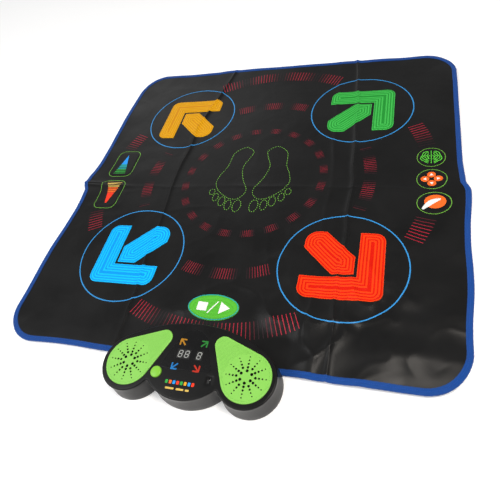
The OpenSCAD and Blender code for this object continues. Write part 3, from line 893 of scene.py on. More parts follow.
@dataclass
class MatSurface:
    """Height of the mat's cover and the slight wander of its edge.

    Attributes:
        half: half the mat's width.
        corner: its corner radius.
        top: height of the cover where the mat lies flat.
        left_fold: x of the left fold at five depths from front to back.
        right_fold: x of the right fold at the same depths.
        cross_fold: y of the fold across the mat at five widths from left to right.
    """

    half: float = 460.0
    corner: float = 80.0
    top: float = 4.5
    left_fold: tuple[float, ...] = (-176, -191, -205, -199, -147)
    right_fold: tuple[float, ...] = (230, 234, 237, 226, 211)
    cross_fold: tuple[float, ...] = (-12, -22, -19, -28, -24)

    def __post_init__(self) -> None:
        """Seeds the noise."""
        self.broad, self.fine, self.drift = Clouds(11), Clouds(23), Clouds(37)

    def calm(self, points: Array) -> Array:
        """0 under the console, where the mat is clamped flat, rising to 1 around it."""
        dx = np.maximum(np.abs(points[:, 0]) - 150, 0)
        dy = np.maximum(points[:, 1] + 402, 0)
        return smoothstep(8, 52, np.hypot(dx, dy))

    def fold_line(self, along: Array, knots: Sequence[float], jitter: Array | float = 0.5) -> Array:
        """Where a fold runs: a line through its knots that wanders by 3.5 mm."""
        places = np.linspace(-self.half, self.half, len(knots))
        return np.interp(along, places, knots) + 7 * (jitter - 0.5)

    def fold(self, across: Array, along: Array, knots: Sequence[float], jitter: Array) -> Array:
        """A fold's ridge: exp((1 - sqrt(d^2 + 1)) / 3.8) with d the distance from its line."""
        d = across - self.fold_line(along, knots, jitter)
        return np.exp((1.0 - np.sqrt(d * d + 1.0)) / 3.8)

    def fold_points(self) -> Array:
        """Extra points along the two long folds, in rows up to 7 mm to each side."""
        y = np.arange(-450, 451, 3.0)
        rows = []
        for knots in (self.left_fold, self.right_fold):
            base = np.stack([self.fold_line(y, knots), y], 1)
            for _ in range(3):
                jitter = self.drift.at(base, 70)
                base[:, 0] = self.fold_line(y, knots, jitter)
            rows += [base + [shift, 0.4 * shift] for shift in (-6.5, -4, -2, -0.8, 0.8, 2, 4, 6.5)]
        return np.concatenate(rows)

    def crumple(self, points: Array, size: float) -> Array:
        """Sharp-crested wrinkles: (1 - |2n - 1|)^3 of noise n whose place is pushed by noise."""
        push = np.stack([self.broad.at(points, size * 1.3), self.drift.at(points, size * 1.3)], 1)
        n = self.fine.at(points + (push - 0.5) * size * 1.5, size, 1.5)
        return (1 - np.abs(2 * n - 1)) ** 3

    def height(self, points: Array) -> Array:
        """Height of the cover's top face.

        The flat height plus, away from the console, three folds, low swells, crumples that
        are strongest at the front right, and edges that stand off the floor a little.

        Args:
            points: places on the mat.

        Returns:
            Heights in millimetres.
        """
        x, y = points[:, 0], points[:, 1]
        jitter, strength = self.drift.at(points, 70), self.broad.at(points, 120)
        ridge = 4.2 * (0.4 + 0.8 * strength) * self.fold(x, y, self.left_fold, jitter)
        ridge += 4.6 * (0.5 + 0.8 * strength) * self.fold(x, y, self.right_fold, jitter)
        across = 1.5 * (0.1 + strength) + 4.5 * smoothstep(-300, -440, x)
        ridge += across * self.fold(y, x, self.cross_fold, jitter)
        ridge += 1.4 * strength * self.fold(x + 47, y, self.right_fold, jitter)
        swell = 2.4 * self.broad.at(points, 210) ** 2 + 0.6 * self.drift.at(points, 110) ** 2
        worn = np.exp(-(((x - 270) / 210) ** 2 + ((y + 350) / 150) ** 2))
        worn += 0.55 * np.exp(-(((x - 60) / 190) ** 2 + ((y + 375) / 60) ** 2))
        worn += 0.25 * np.exp(-(((x + 330) / 130) ** 2 + ((y + 120) / 130) ** 2)) + 0.05
        crumples = worn * (6.5 * self.crumple(points, 84) + 2.6 * self.crumple(points + 300, 46))
        crumples += 10.0 * worn * self.fine.at(points + 170, 52) * self.broad.at(points + 90, 150)
        roll = np.exp(-(((y + 402 + 14 * self.drift.at(points, 160)) / 26) ** 2))
        roll *= smoothstep(150, 260, x)
        crumples += 9.0 * roll * (0.4 + 0.8 * self.fine.at(points, 90))
        rim = smoothstep(360, 455, np.maximum(np.abs(x), np.abs(y)))
        lift = rim * (4.5 * self.fine.at(points, 130) ** 2 + 1.6 * self.drift.at(points, 60))
        back = smoothstep(300, 460, y) * smoothstep(-215, -165, x) * (1 - smoothstep(170, 225, x))
        side = 4.0 * smoothstep(395, 460, x) * np.exp(-(((y + 25) / 55) ** 2))
        side += 3.5 * smoothstep(395, 460, -x) * np.exp(-(((y + 45) / 60) ** 2))
        return self.top + self.calm(points) * (ridge + swell + crumples + lift + 4.5 * back + side)

    def warp(self, points: Array) -> Array:
        """Moves points near the edge sideways, by up to 5 mm, and leaves the rest."""
        x, y = points[:, 0], points[:, 1]
        calm = self.calm(points)
        along_y = 9 * (self.broad.at(np.stack([x * 0 + 40 * np.sign(x), y], 1), 110) - 0.5)
        along_x = 9 * (self.drift.at(np.stack([x, y * 0 + 40 * np.sign(y)], 1), 110) - 0.5)
        out = points.copy()
        kink = 10 * np.exp(-(((y + 2) / 50) ** 2)) * smoothstep(-42, -18, y)
        kink -= 7 * np.exp(-(((y + 78) / 45) ** 2))
        kink = np.where(x < 0, kink, 9 * smoothstep(-10, -38, y) * np.exp(-(((y + 60) / 190) ** 2)))
        out[:, 0] += kink * smoothstep(350, self.half, np.abs(x)) * np.sign(x)
        out[:, 0] += calm * along_y * smoothstep(385, self.half, np.abs(x)) * np.sign(x) * 0.7
        out[:, 1] += calm * along_x * smoothstep(385, self.half, np.abs(y)) * np.sign(y)
        return out

    def drape(self, points: Array, lift: Array | float = 0.0) -> Array:
        """Plane points as points on the mat, raised by lift."""
        return np.column_stack([self.warp(points), self.height(points) + lift])


@dataclass
class Decals:
    """Flat prints that lie on a surface, gathered into one mesh.

    Attributes:
        lay: gives points on the surface for plane points and a lift.
        lift: how far the print stands off the surface.
        shape: the mesh so far.
    """

    lay: Callable[[Array, Array | float], Array]
    lift: float = 0.34
    shape: Shape = field(default_factory=Shape)

    def line(self, path: Array, width: float, closed: bool = False, slot: int = 0,
             fade: float = 0.0) -> None:
        """A line of the given width along a path, its edges half the width to each side."""
        if closed:
            ahead, behind = np.roll(path, -1, 0), np.roll(path, 1, 0)
        else:
            ahead = np.concatenate([path[1:], path[-1:]])
            behind = np.concatenate([path[:1], path[:-1]])
        run = ahead - behind
        run /= np.linalg.norm(run, axis=1)[:, None]
        side = np.stack([-run[:, 1], run[:, 0]], 1) * width / 2
        flat = np.stack([path + side, path - side])
        rings = np.stack([self.lay(flat[0], self.lift), self.lay(flat[1], self.lift)])
        self.shape.add_rings(rings[::-1], slot, fade, close=closed)

    def dashes(self, path: Array, on: float, off: float, width: float, slot: int = 0) -> None:
        """Dashes along a closed path, spread so that a whole number fits."""
        loop = np.concatenate([path, path[:1]])
        gone = travelled(loop)
        count = max(1, round(gone[-1] / (on + off)))
        pitch = gone[-1] / count
        for k in range(count):
            at = k * pitch + np.linspace(0, pitch * on / (on + off), 4)
            self.line(follow(loop, gone, at), width, slot=slot)

    def fill(self, outline: Array, slot: int = 0, fade: float = 0.0, step: float = 3.0,
             raise_by: float = 0.0) -> None:
        """A filled outline."""
        loop = outline if signed_area(outline) > 0 else outline[::-1]
        patch = cut_patch(subdivide(loop, step), step=step)
        self.shape.add(self.lay(patch.points, self.lift + raise_by), [patch.triangles], slot, fade)

    def piece(self, name: str, finishes: Sequence[bpy.types.Material], body: str,
              slot: str) -> bpy.types.Object:
        """Writes the prints as one piece that rides on a body."""
        made = shape_object(name, self.shape, finishes, attribute="fade")
        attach(made, body)
        return made


# ----------------------------------------------------------------- keys


@dataclass
class Key:
    """One pressure key: its raised print, the contact under it and its small prints.

    Attributes:
        name: the piece's name.
        body: the body that it rides on.
        nodes: the CAD nodes that it stands for.
        outlines: outlines of the raised parts.
        contact: outline of the contact sheet.
        rise: how far the print stands over the cover.
        step: grid spacing of its top.
        elbow: an arrow head's inner corner and the signs of its side, or None.
    """

    name: str
    body: str
    nodes: tuple[str, ...]
    outlines: list[Array]
    contact: Array
    rise: float = 1.5
    step: float = 2.6
    elbow: tuple[float, float, int, int] | None = None

    def inset(self, points: Array, outline: Array) -> Array:
        """Distance in from the edge, with mitred lines at an arrow head's inner corner.

        At the inner corner (x0, y0) of a head on side (sx, sy) the distance is
        max(sx (x - x0), sy (y - y0)), and elsewhere it is the distance to the outline.

        Args:
            points: places on the top.
            outline: the raised part's outline.

        Returns:
            The distances in millimetres.
        """
        if self.elbow is None:
            return edge_distance(points, [outline])
        x0, y0, sx, sy = self.elbow
        corner = np.linalg.norm(outline - [x0, y0], axis=1)
        if corner.min() > 0.01:
            return edge_distance(points, [outline])
        mitre = np.maximum(sx * (points[:, 0] - x0), sy * (points[:, 1] - y0))
        return np.minimum(edge_distance(points, [np.delete(outline, corner.argmin(), 0)]),
                          np.maximum(mitre, 0))

    def crown(self, inset: Array) -> Array:
        """Height over the cover: the rise less 0.75 exp(-inset / 1.1) at the rounded edge."""
        return self.rise - 0.75 * np.exp(-inset / 1.1)

    def build(self, surface: MatSurface,
              finishes: Sequence[bpy.types.Material]) -> bpy.types.Object:
        """Builds the key.

        Args:
            surface: the mat's surface.
            finishes: the print and the contact sheet's material.

        Returns:
            The key's piece.
        """
        shape = Shape()
        for outline in self.outlines:
            edge = subdivide(outline, self.step)
            patch = cut_patch(edge, step=self.step)
            inset = self.inset(patch.points, outline)
            shape.add(surface.drape(patch.points, self.crown(inset)), [patch.triangles], 0, inset)
            rim = patch.points[patch.rims[0]]
            rings = np.stack([surface.drape(rim, -0.9),
                              surface.drape(rim, self.crown(np.zeros(len(rim))))])
            shape.add_rings(rings, 0, 0.0)
            shape.add(surface.drape(patch.points, -0.9), [patch.triangles[:, ::-1]], 0, inset)
        disc = cut_patch(subdivide(self.contact, 5), step=5)
        rim = disc.points[disc.rims[0]]
        shape.add(surface.drape(disc.points, -0.95), [disc.triangles], 1)
        shape.add(surface.drape(disc.points, -1.25), [disc.triangles[:, ::-1]], 1)
        shape.add_rings(np.stack([surface.drape(rim, -1.25), surface.drape(rim, -0.95)]), 1)
        piece = shape_object(self.name, shape, finishes, sharp=50, weld=0.01, attribute="inset")
        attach(piece, self.body)
        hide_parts(*self.nodes)
        return piece

    def top(self, surface: MatSurface) -> Callable[[Array, Array | float], Array]:
        """Gives the function that lays a print on this key's top."""
        return lambda points, lift: surface.drape(points, self.rise + lift)


@dataclass
class Mat:
    """The layered mat with its keys and prints.

    Attributes:
        arrow_at: distance of the arrows from the middle of the artwork.
        arrow_size: outside size of an arrow.
        arrow_bar: width of the arrow head's bars.
        arrow_shaft: half the width of the arrow's shaft along its edges.
        arrow_split: gap between head and shaft.
        arrow_corner: radius of the corners of the arrow's head.
        arrow_end: radius of the corner at the end of its shaft.
        art_y: y of the middle of the artwork.
        start_at: middle of the oval start key.
        start_size: its width and depth.
        volume_x: x of the two volume keys.
        volume_y: how far they are from the middle of the artwork along Y.
        mode_x: x of the three round mode keys.
        mode_pitch: distance between them.
        binding_w: width of the edge binding.
        tick_bands: inner and outer radius, groups, ticks in a group, pitch and dimming of
            each circle of radial ticks.
    """

    surface: MatSurface = field(default_factory=MatSurface)
    arrow_at: float = 236.0
    arrow_size: float = 158.0
    arrow_bar: float = 49.0
    arrow_shaft: float = 42.0
    arrow_split: float = 6.0
    arrow_corner: float = 20.0
    arrow_end: float = 26.0
    art_y: float = 7.0
    start_at: tuple[float, float] = (0.0, -345.0)
    start_size: tuple[float, float] = (106.0, 57.0)
    volume_x: float = -376.0
    volume_y: float = 56.0
    mode_x: float = 398.0
    mode_pitch: float = 67.0
    binding_w: float = 11.0
    tick_bands: tuple[tuple[float, float, int, int, float, float], ...] = (
        (384, 420, 24, 13, 8.1, 0.0), (260, 287, 22, 11, 5.6, 0.3), (161, 179, 20, 8, 4.3, 0.5))

    def arrow(self, sx: int, sy: int) -> list[Array]:
        """Head and shaft of the arrow that points away from the middle at side (sx, sy).

        Both are worked out for an arrow that points to -X -Y and then mirrored.

        Args:
            sx: -1 or 1, the arrow's side along X.
            sy: the same along Y.

        Returns:
            The two outlines, anticlockwise.
        """
        s, k = self.arrow_size / 2, self.arrow_shaft
        low = -s + self.arrow_bar
        a = low + self.arrow_split
        r, t = self.arrow_corner, self.arrow_end
        head = np.concatenate([arc((-s + r, -s + r), r, 180, 270, 12),
                               arc((s - r, -s + r), r, 270, 360, 10),
                               [[s, low], [low, low], [low, s]],
                               arc((-s + r, s - r), r, 90, 180, 10)])
        tail = np.concatenate([[[a, a], [a + k, a], [s, s - k]], arc((s - t, s - t), t, 0, 90, 12),
                               [[s - k, s], [a, a + k]]])
        flip = np.array([-sx, -sy])
        place = np.array([sx * self.arrow_at, self.art_y + sy * self.arrow_at])
        return [(loop * flip + place)[::1 if sx * sy > 0 else -1] for loop in (head, tail)]

    def keys(self) -> dict[str, Key]:
        """The ten keys by name."""
        made = {}
        sides = {"yellow": (-1, 1), "green": (1, 1), "blue": (-1, -1), "red": (1, -1)}
        for paint, (sx, sy) in sides.items():
            centre = (sx * self.arrow_at, self.art_y + sy * self.arrow_at)
            made[paint] = Key(f"{paint}_arrow_key", f"{paint}_arrow_key",
                              (f"{paint}_arrow_pad", f"{paint}_contact"),
                              self.arrow(sx, sy), circle(centre, 110, 64),
                              elbow=(centre[0] + sx * 30, centre[1] + sy * 30, sx, sy))
        start = (self.start_at, *self.start_size)
        made["start"] = Key("start_key", "start_key", ("start_pad", "start_contact"),
                            [oval(*start)], oval(*start, 4), 1.1)
        for name, side in (("volume_up", 1), ("volume_down", -1)):
            at = (self.volume_x, self.art_y + side * self.volume_y)
            made[name] = Key(f"{name}_key", f"{name}_key", (f"{name}_pad", f"{name}_contact"),
                             [round_box(at, 60, 90, 12, steps=14)], round_box(at, 60, 90, 12, 4),
                             0.7)
        for name, row in (("memory", 1), ("pattern", 0), ("challenge", -1)):
            at = (self.mode_x, row * self.mode_pitch)
            made[name] = Key(f"{name}_key", f"{name}_key", (f"{name}_pad", f"{name}_contact"),
                             [circle(at, 27, 72)], circle(at, 31, 48), 0.7)
        return made

    def cover(self, keys: Iterable[Key],
              finish: bpy.types.Material) -> tuple[bpy.types.Object, float]:
        """The cover sheet with a hole round each key.

        Args:
            keys: the keys it is cut out for.
            finish: its material.

        Returns:
            The piece and its flat area in square metres.
        """
        size = 2 * self.surface.half - 1.2
        outer = subdivide(round_box((0, 0), size, size, self.surface.corner - 0.6, steps=20), 3.4)
        holes = [subdivide(grow_loop(loop, 0.5), 3.2) for key in keys for loop in key.outlines]
        patch = cut_patch(outer, holes, 3.5, self.surface.fold_points())
        shape = Shape()
        shape.add(self.surface.drape(patch.points), [patch.triangles])
        piece = shape_object("mat_cover", shape, [finish], sharp=180)
        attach(piece, ROOT)
        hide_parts("cover_sheet")
        return piece, patch.area() * 1e-6

    def backing(self, finish: bpy.types.Material) -> bpy.types.Object:
        """The non-slip backing, 0.1 mm off the floor.

        It takes 0.55 of the cover's folds, rising to all of them under the binding.
        """
        size = 2 * self.surface.half - 8
        outer = subdivide(round_box((0, 0), size, size, self.surface.corner - 4, steps=16), 7)
        patch = cut_patch(outer, (), 7)
        points = self.surface.drape(patch.points)
        reach = np.abs(patch.points).max(1)
        share = 0.55 + 0.45 * smoothstep(428, 450, reach)
        points[:, 2] = np.maximum((points[:, 2] - self.surface.top) * share, 0) + 0.1
        shape = Shape()
        shape.add(points, [patch.triangles[:, ::-1]])
        piece = shape_object("mat_backing", shape, [finish], sharp=180)
        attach(piece, ROOT)
        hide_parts("backing_sheet", "foam_spacer", "sensor_film")
        return piece

    def binding(self, finish: bpy.types.Material) -> bpy.types.Object:
        """Folded tape round the edge.

        The profile is 11 mm wide on both faces with a bulged fold between, puckered by
        0.25 sin(2 pi s / 9) millimetres, and is carried round the mat's outline.

        Args:
            finish: its material.

        Returns:
            The piece.
        """
        w, base = self.binding_w, self.surface.top
        profile = np.array([(w, 0.35), (w - 0.3, 0.05), (1.6, 0.02), (0.5, 0.5), (0.0, 1.6),
                            (-0.15, 2.9), (0.0, 4.1),
                            (0.6, 5.0), (1.7, 5.55), (3.0, 5.8), (4.4, 5.62), (5.4, 5.2),
                            (6.2, 5.05), (7.0, 5.25),
                            (8.2, 5.5), (w - 1.4, 5.42), (w - 0.3, 5.2), (w, 4.85), (w, 4.45)])
        half, radius = self.surface.half, self.surface.corner
        ring0 = subdivide(round_box((0, 0), 2 * half, 2 * half, radius, steps=40), 2.6)
        run = np.roll(ring0, -1, 0) - np.roll(ring0, 1, 0)
        run /= np.linalg.norm(run, axis=1)[:, None]
        inward = np.stack([-run[:, 1], run[:, 0]], 1)
        step = np.linalg.norm(np.roll(ring0, -1, 0) - ring0, axis=1)
        along = np.concatenate([[0], np.cumsum(step)[:-1]])
        pucker = 0.25 * np.sin(2 * math.pi * along / 9.0)
        rings = []
        for inset, z in profile:
            sideways = pucker * 0.5 if z >= 1 else 0 * pucker
            upwards = pucker * 0.3 if 4 < z < 5.3 else 0
            flat = ring0 + inward * (inset + sideways[:, None])
            rise = self.surface.height(flat) - base
            rings.append(np.column_stack([self.surface.warp(flat), z + rise + upwards]))
        rings = np.stack(rings)
        across = travelled(profile)
        rings = np.concatenate([rings, rings[:, :1]], 1)
        along = np.concatenate([along, [along[-1] + step[-1]]])
        shape = Shape()
        shape.add_rings(rings, close=False)
        uv = np.stack(np.broadcast_arrays(along[None, :], across[:, None]), -1).reshape(-1, 2)
        piece = shape_object("mat_binding", shape, [finish], sharp=75, uv=uv)
        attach(piece, ROOT)
        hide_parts("edge_binding")
        return piece

    def stitches(self, finish: bpy.types.Material) -> bpy.types.Object:
        """A row of lock stitches 6.2 mm in from the edge, each a low six-sided bead."""
        inset, pitch = 6.2, 3.6
        half, radius = self.surface.half - inset, self.surface.corner - inset
        loop = round_box((0, 0), 2 * half, 2 * half, radius, steps=40)
        loop = np.concatenate([loop, loop[:1]])
        gone = travelled(loop)
        count = int(gone[-1] / pitch)
        at = (np.arange(count) + 0.5) * gone[-1] / count
        where = follow(loop, gone, at)
        run = follow(loop, gone, at + 0.5) - where
        run /= np.maximum(np.linalg.norm(run, axis=1), 1e-9)[:, None]
        side = np.stack([-run[:, 1], run[:, 0]], 1)
        u = np.array([-1.3, -0.95, 0, 0.95, 1.3])
        size = np.array([0.12, 0.3, 0.36, 0.3, 0.12])
        turn = np.radians(np.arange(6) * 60)
        flat = where[:, None, None] + run[:, None, None] * u[None, :, None, None] \
            + side[:, None, None] * (size[:, None] * np.cos(turn))[None, :, :, None]
        z = self.surface.height(where)[:, None, None] + 0.66 + (size[:, None] * np.sin(turn))[None]
        flat = self.surface.warp(flat.reshape(-1, 2)).reshape(flat.shape)
        points = np.concatenate([flat, z[..., None]], -1).reshape(count, 30, 3)
        ring = np.arange(6)
        one = np.concatenate([np.stack([6 * i + ring, 6 * i + 6 + ring, 6 * i + 6 + (ring + 1) % 6,
                                        6 * i + (ring + 1) % 6], 1)
                              for i in range(4)])
        faces = (one[None] + 30 * np.arange(count)[:, None, None]).reshape(-1, 4)
        shape = Shape()
        shape.add(points.reshape(-1, 3), [faces])
        piece = shape_object("binding_stitches", shape, [finish], sharp=80)
        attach(piece, ROOT)
        return piece

    def ticks(self) -> list[tuple[float, float, float, float]]:
        """Inner radius, outer radius, angle and fade of each radial tick that nothing covers."""
        made = []
        for low, high, groups, count, pitch, dim in self.tick_bands:
            step = math.degrees(pitch / ((low + high) / 2))
            k = np.arange(count) - (count - 1) / 2
            angle = (np.arange(groups)[:, None] * 360 / groups + 360 / groups / 2
                     + k * step).ravel()
            fade = np.tile(smoothstep(0.1, 1.0, np.abs(k) / (count / 2)) * (1 - dim) + dim, groups)
            middle = np.stack([(low + high) / 2 * np.cos(np.radians(angle)),
                               self.art_y + (low + high) / 2 * np.sin(np.radians(angle))], 1)
            clear = np.ones(len(angle), bool)
            for sx in (-1, 1):
                for sy in (-1, 1):
                    centre = np.array([sx * self.arrow_at, self.art_y + sy * self.arrow_at])
                    clear &= np.linalg.norm(middle - centre, axis=1) > 134 + (high - low) * 0.3
            clear &= ~((np.abs(middle[:, 0] - self.volume_x) < 48)
                       & (np.abs(middle[:, 1] - self.art_y) < 112))
            clear &= ~((np.abs(middle[:, 0] - self.mode_x) < 46) & (np.abs(middle[:, 1]) < 104))
            made += [(low, high, a, f) for a, f in zip(angle[clear], fade[clear])]
        return made

    def artwork(self, finishes: dict[str, bpy.types.Material]) -> list[bpy.types.Object]:
        """Rings, radial ticks, dashed soles and key outlines, printed on the cover.

        Args:
            finishes: inks by name.

        Returns:
            The pieces.
        """
        lay = self.surface.drape
        rings = Decals(lay)
        for sx in (-1, 1):
            for sy in (-1, 1):
                low = 4 if sy < 0 < sx else 0  # the red arrow's ring sits lower than the others
                rings.line(circle((sx * 235, 10 + sy * 238 - low), 125, 240), 2.4, closed=True)
        ticks = Decals(lay, 0.3)
        for low, high, angle, fade in self.ticks():
            r = np.linspace(low, high, 9)[:, None]
            turn = math.radians(angle)
            spoke = r * np.array([math.cos(turn), math.sin(turn)]) + (0, self.art_y)
            ticks.line(spoke, 1.5, fade=fade)
        soles = Decals(lay)
        for loop in self.soles():
            soles.dashes(loop, 3.4, 2.7, 1.5)
        frames = Decals(lay, 0.32)
        for side in (-1, 1):
            frame = round_box((self.volume_x, self.art_y + side * self.volume_y), 66, 96, 18)
            frames.line(subdivide(frame, 2), 1.3, closed=True)
        for row in (-1, 0, 1):
            frames.line(circle((self.mode_x, row * self.mode_pitch), 28.7, 96), 1.2, closed=True)
        return [rings.piece("arrow_rings", [finishes["ring"]], ROOT, "cover_cloth"),
                ticks.piece("radial_ticks", [finishes["tick"]], ROOT, "cover_cloth"),
                soles.piece("sole_outlines", [finishes["sole"]], ROOT, "cover_cloth"),
                frames.piece("key_frames", [finishes["sole"]], ROOT, "cover_cloth")]

    def soles(self) -> list[Array]:
        """Outlines of two soles and ten toes, smooth curves through a few points each."""
        sole = np.array([(-42.5, 116), (-66.5, 95), (-72.5, 50), (-84, 20), (-89, -6), (-80, -29),
                         (-61, -47.5),
                         (-42.5, -59), (-24, -61), (-9, -47), (-7, -29), (-20, -2), (-29, 24),
                         (-31, 50),
                         (-20, 80), (-16, 99), (-27.5, 112)], float)
        loops = [smooth_curve(sole)]
        for x, y, w, d in ((-91, -38, 7, 9), (-78, -55, 7, 12), (-59, -68, 8, 14),
                           (-41, -79, 8, 15), (-18, -82, 10, 18)):
            loops.append(oval((x, y), 2 * w, 2 * d, 0, 48))
        return loops + [loop * [-1, 1] + [5, 0] for loop in loops]


def grow_loop(loop: Array, by: float) -> Array:
    """Moves each corner out along the sum of its two edge normals, divided by 1 + their product."""
    ahead = np.roll(loop, -1, 0) - loop
    ahead /= np.linalg.norm(ahead, axis=1)[:, None]
    normal = np.stack([ahead[:, 1], -ahead[:, 0]], 1) * math.copysign(1, signed_area(loop))
    before = np.roll(normal, 1, 0)
    return loop + by * (normal + before) / (1 + (normal * before).sum(1))[:, None]


# ------------------------------------------------------------------- console


def ring_at(outline: Array, z: float) -> Array:
    """A loop of plane points at one height."""
    return np.column_stack([outline, np.full(len(outline), z)])


@dataclass
class Console:
    """The three-lobed sound console, in its own frame: y = 0 is the mat's front edge.

    Attributes:
        shift: y of that edge in the model's frame.
        height: height of its top.
        parting: height of the line between the two case halves.
        plate: underside of the top plate.
        pocket: floor of the pockets for the grilles and the window.
        base: height of the floor of the front part.
        shelf: height of the floor of the part over the mat.
        step: y where the floor steps up.
        lobe: x, y and radius of the right lobe, which is mirrored to the left.
        middle: x, y and radius of the middle lobe.
        back_y: y of the back arc at its middle.
        notch_r: fillet between the lobes.
        grille_discs: x, y and radius of the discs that the right grille is stretched round.
        window_discs: the same for the window.
        hole_rows: distance from the grille's middle and radius of each row of holes.
        button_at: middle of the power button.
        switch_at: middle of the sound switch.
        screws: places of the case screws on the right side.
    """

    shift: float = -460.0
    height: float = 46.0
    parting: float = 38.0
    plate: float = 43.6
    pocket: float = 44.4
    base: float = 1.0
    shelf: float = 5.3
    step: float = -1.5
    lobe: tuple[float, float, float] = (110.0, -26.5, 52.5)
    middle: tuple[float, float, float] = (0.0, 8.0, 88.5)
    back_y: float = 59.5
    notch_r: float = 4.0
    grille_discs: tuple[tuple[float, float, float], ...] = ((110, -25.5, 44), (57.5, 25, 15.5))
    window_discs: tuple[tuple[float, float, float], ...] = ((41, -22.5, 6), (0, 17, 29),
                                                            (-41, -22.5, 6))
    hole_rows: tuple[tuple[float, float], ...] = ((10.5, 2.6), (16.5, 2.2), (22.5, 1.8),
                                                  (28.5, 1.4), (34.5, 1.1))
    button_at: tuple[float, float] = (-51.0, -38.5)
    switch_at: tuple[float, float] = (48.5, -40.5)
    screws: tuple[tuple[float, float], ...] = ((150, -12), (100, -67), (68, -22))

    def outline(self, inset: float = 0.0) -> Array:
        """The case's outline: three lobes and a shallow back arc, with filleted notches.

        Every arc keeps its centre and changes its radius by the inset, so outlines of
        different insets have the same number of points and pair up.

        Args:
            inset: how far the outline is moved inwards.

        Returns:
            The anticlockwise outline in the console's frame.
        """
        right, mid = np.array(self.lobe[:2]), np.array(self.middle[:2])
        lobe_r, mid_r = self.lobe[2], self.middle[2]
        rise = self.back_y - right[1]
        back_r = (right[0] ** 2 + rise**2 - lobe_r**2) / (2 * (rise - lobe_r))
        back = np.array([0.0, self.back_y - back_r])
        gap = right - mid
        d = float(np.linalg.norm(gap))
        a, b = mid_r + self.notch_r, lobe_r + self.notch_r
        along = (a * a - b * b + d * d) / (2 * d)
        unit = gap / d
        across = np.array([unit[1], -unit[0]])
        notch = mid + unit * along + across * math.sqrt(a * a - along * along)
        mirror = np.array([-1, 1])

        def heading(p: Array, q: Array) -> float:
            """Direction from p to q in degrees, from 0 to 360."""
            return math.degrees(math.atan2(q[1] - p[1], q[0] - p[0])) % 360

        start, shoulder = heading(right, notch) - 360, heading(back, right)
        rows = [arc(right, lobe_r - inset, start, shoulder, 60),
                arc(back, back_r - inset, shoulder, 180 - shoulder, 40),
                arc(right * mirror, lobe_r - inset, 180 - shoulder, 180 - start, 60),
                arc(notch * mirror, self.notch_r + inset, heading(notch * mirror, right * mirror),
                    heading(notch * mirror, mid), 8),
                arc(mid, mid_r - inset, heading(mid, notch * mirror), heading(mid, notch), 44),
                arc(notch, self.notch_r + inset, heading(notch, mid), heading(notch, right), 8)]
        return np.concatenate([row[:-1] for row in rows])

    def grille(self, side: int, grow: float = 0.0) -> Array:
        """Outline of a grille, side -1 or 1, grown by grow."""
        loop = belt(self.grille_discs, grow, 40)
        return loop if side > 0 else (loop * [-1, 1])[::-1]

    def window(self, grow: float = 0.0) -> Array:
        """Outline of the display window, grown by grow."""
        return belt(self.window_discs, grow, 20)

    def switch(self, width: float, depth: float, radius: float, grow: float = 0.0) -> Array:
        """A rounded rectangle at the slide switch."""
        return round_box(self.switch_at, width, depth, radius, grow, 5)

    def write(self, name: str, shape: Shape, finishes: Sequence[bpy.types.Material], body: str,
              nodes: Sequence[str] = (), slot: str = "", sharp: float = 35.0) -> bpy.types.Object:
        """Moves a shape into the model's frame and writes it as a piece on a body."""
        for block in shape.points:
            block[:, 1] += self.shift
        piece = shape_object(name, shape, finishes, sharp=sharp, weld=0.002, attribute="inset")
        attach(piece, body)
        if nodes:
            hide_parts(*nodes)
        return piece

    def opening(self, shape: Shape, outline: Callable[[float], Array], ledge: float,
                edge: float = 0.3) -> tuple[Array, Array]:
        """A stepped pocket in the top plate.

        The rim rolls over a radius of edge, the wall drops to the pocket's floor, and a
        ledge runs inwards to a smaller hole through the plate.

        Args:
            shape: the mesh that it joins.
            outline: gives the pocket's outline for a growth.
            ledge: how far the ledge runs inwards, or 0 for a plain hole.
            edge: radius of the rim.

        Returns:
            The hole's outline in the top face and in the plate's underside.
        """
        turns = np.radians((90, 60, 30, 0))
        rolled = [(edge * (1 - math.cos(a)), self.height - edge * (1 - math.sin(a))) for a in turns]
        rings = [ring_at(outline(grow), z) for grow, z in [(edge + 0.25, self.height)] + rolled]
        if ledge:
            rings += [ring_at(outline(0), self.pocket), ring_at(outline(-ledge), self.pocket),
                      ring_at(outline(-ledge), self.plate)]
        else:
            rings += [ring_at(outline(0), self.plate)]
        shape.add_rings(np.stack(rings))
        return outline(edge + 0.25), outline(-ledge)

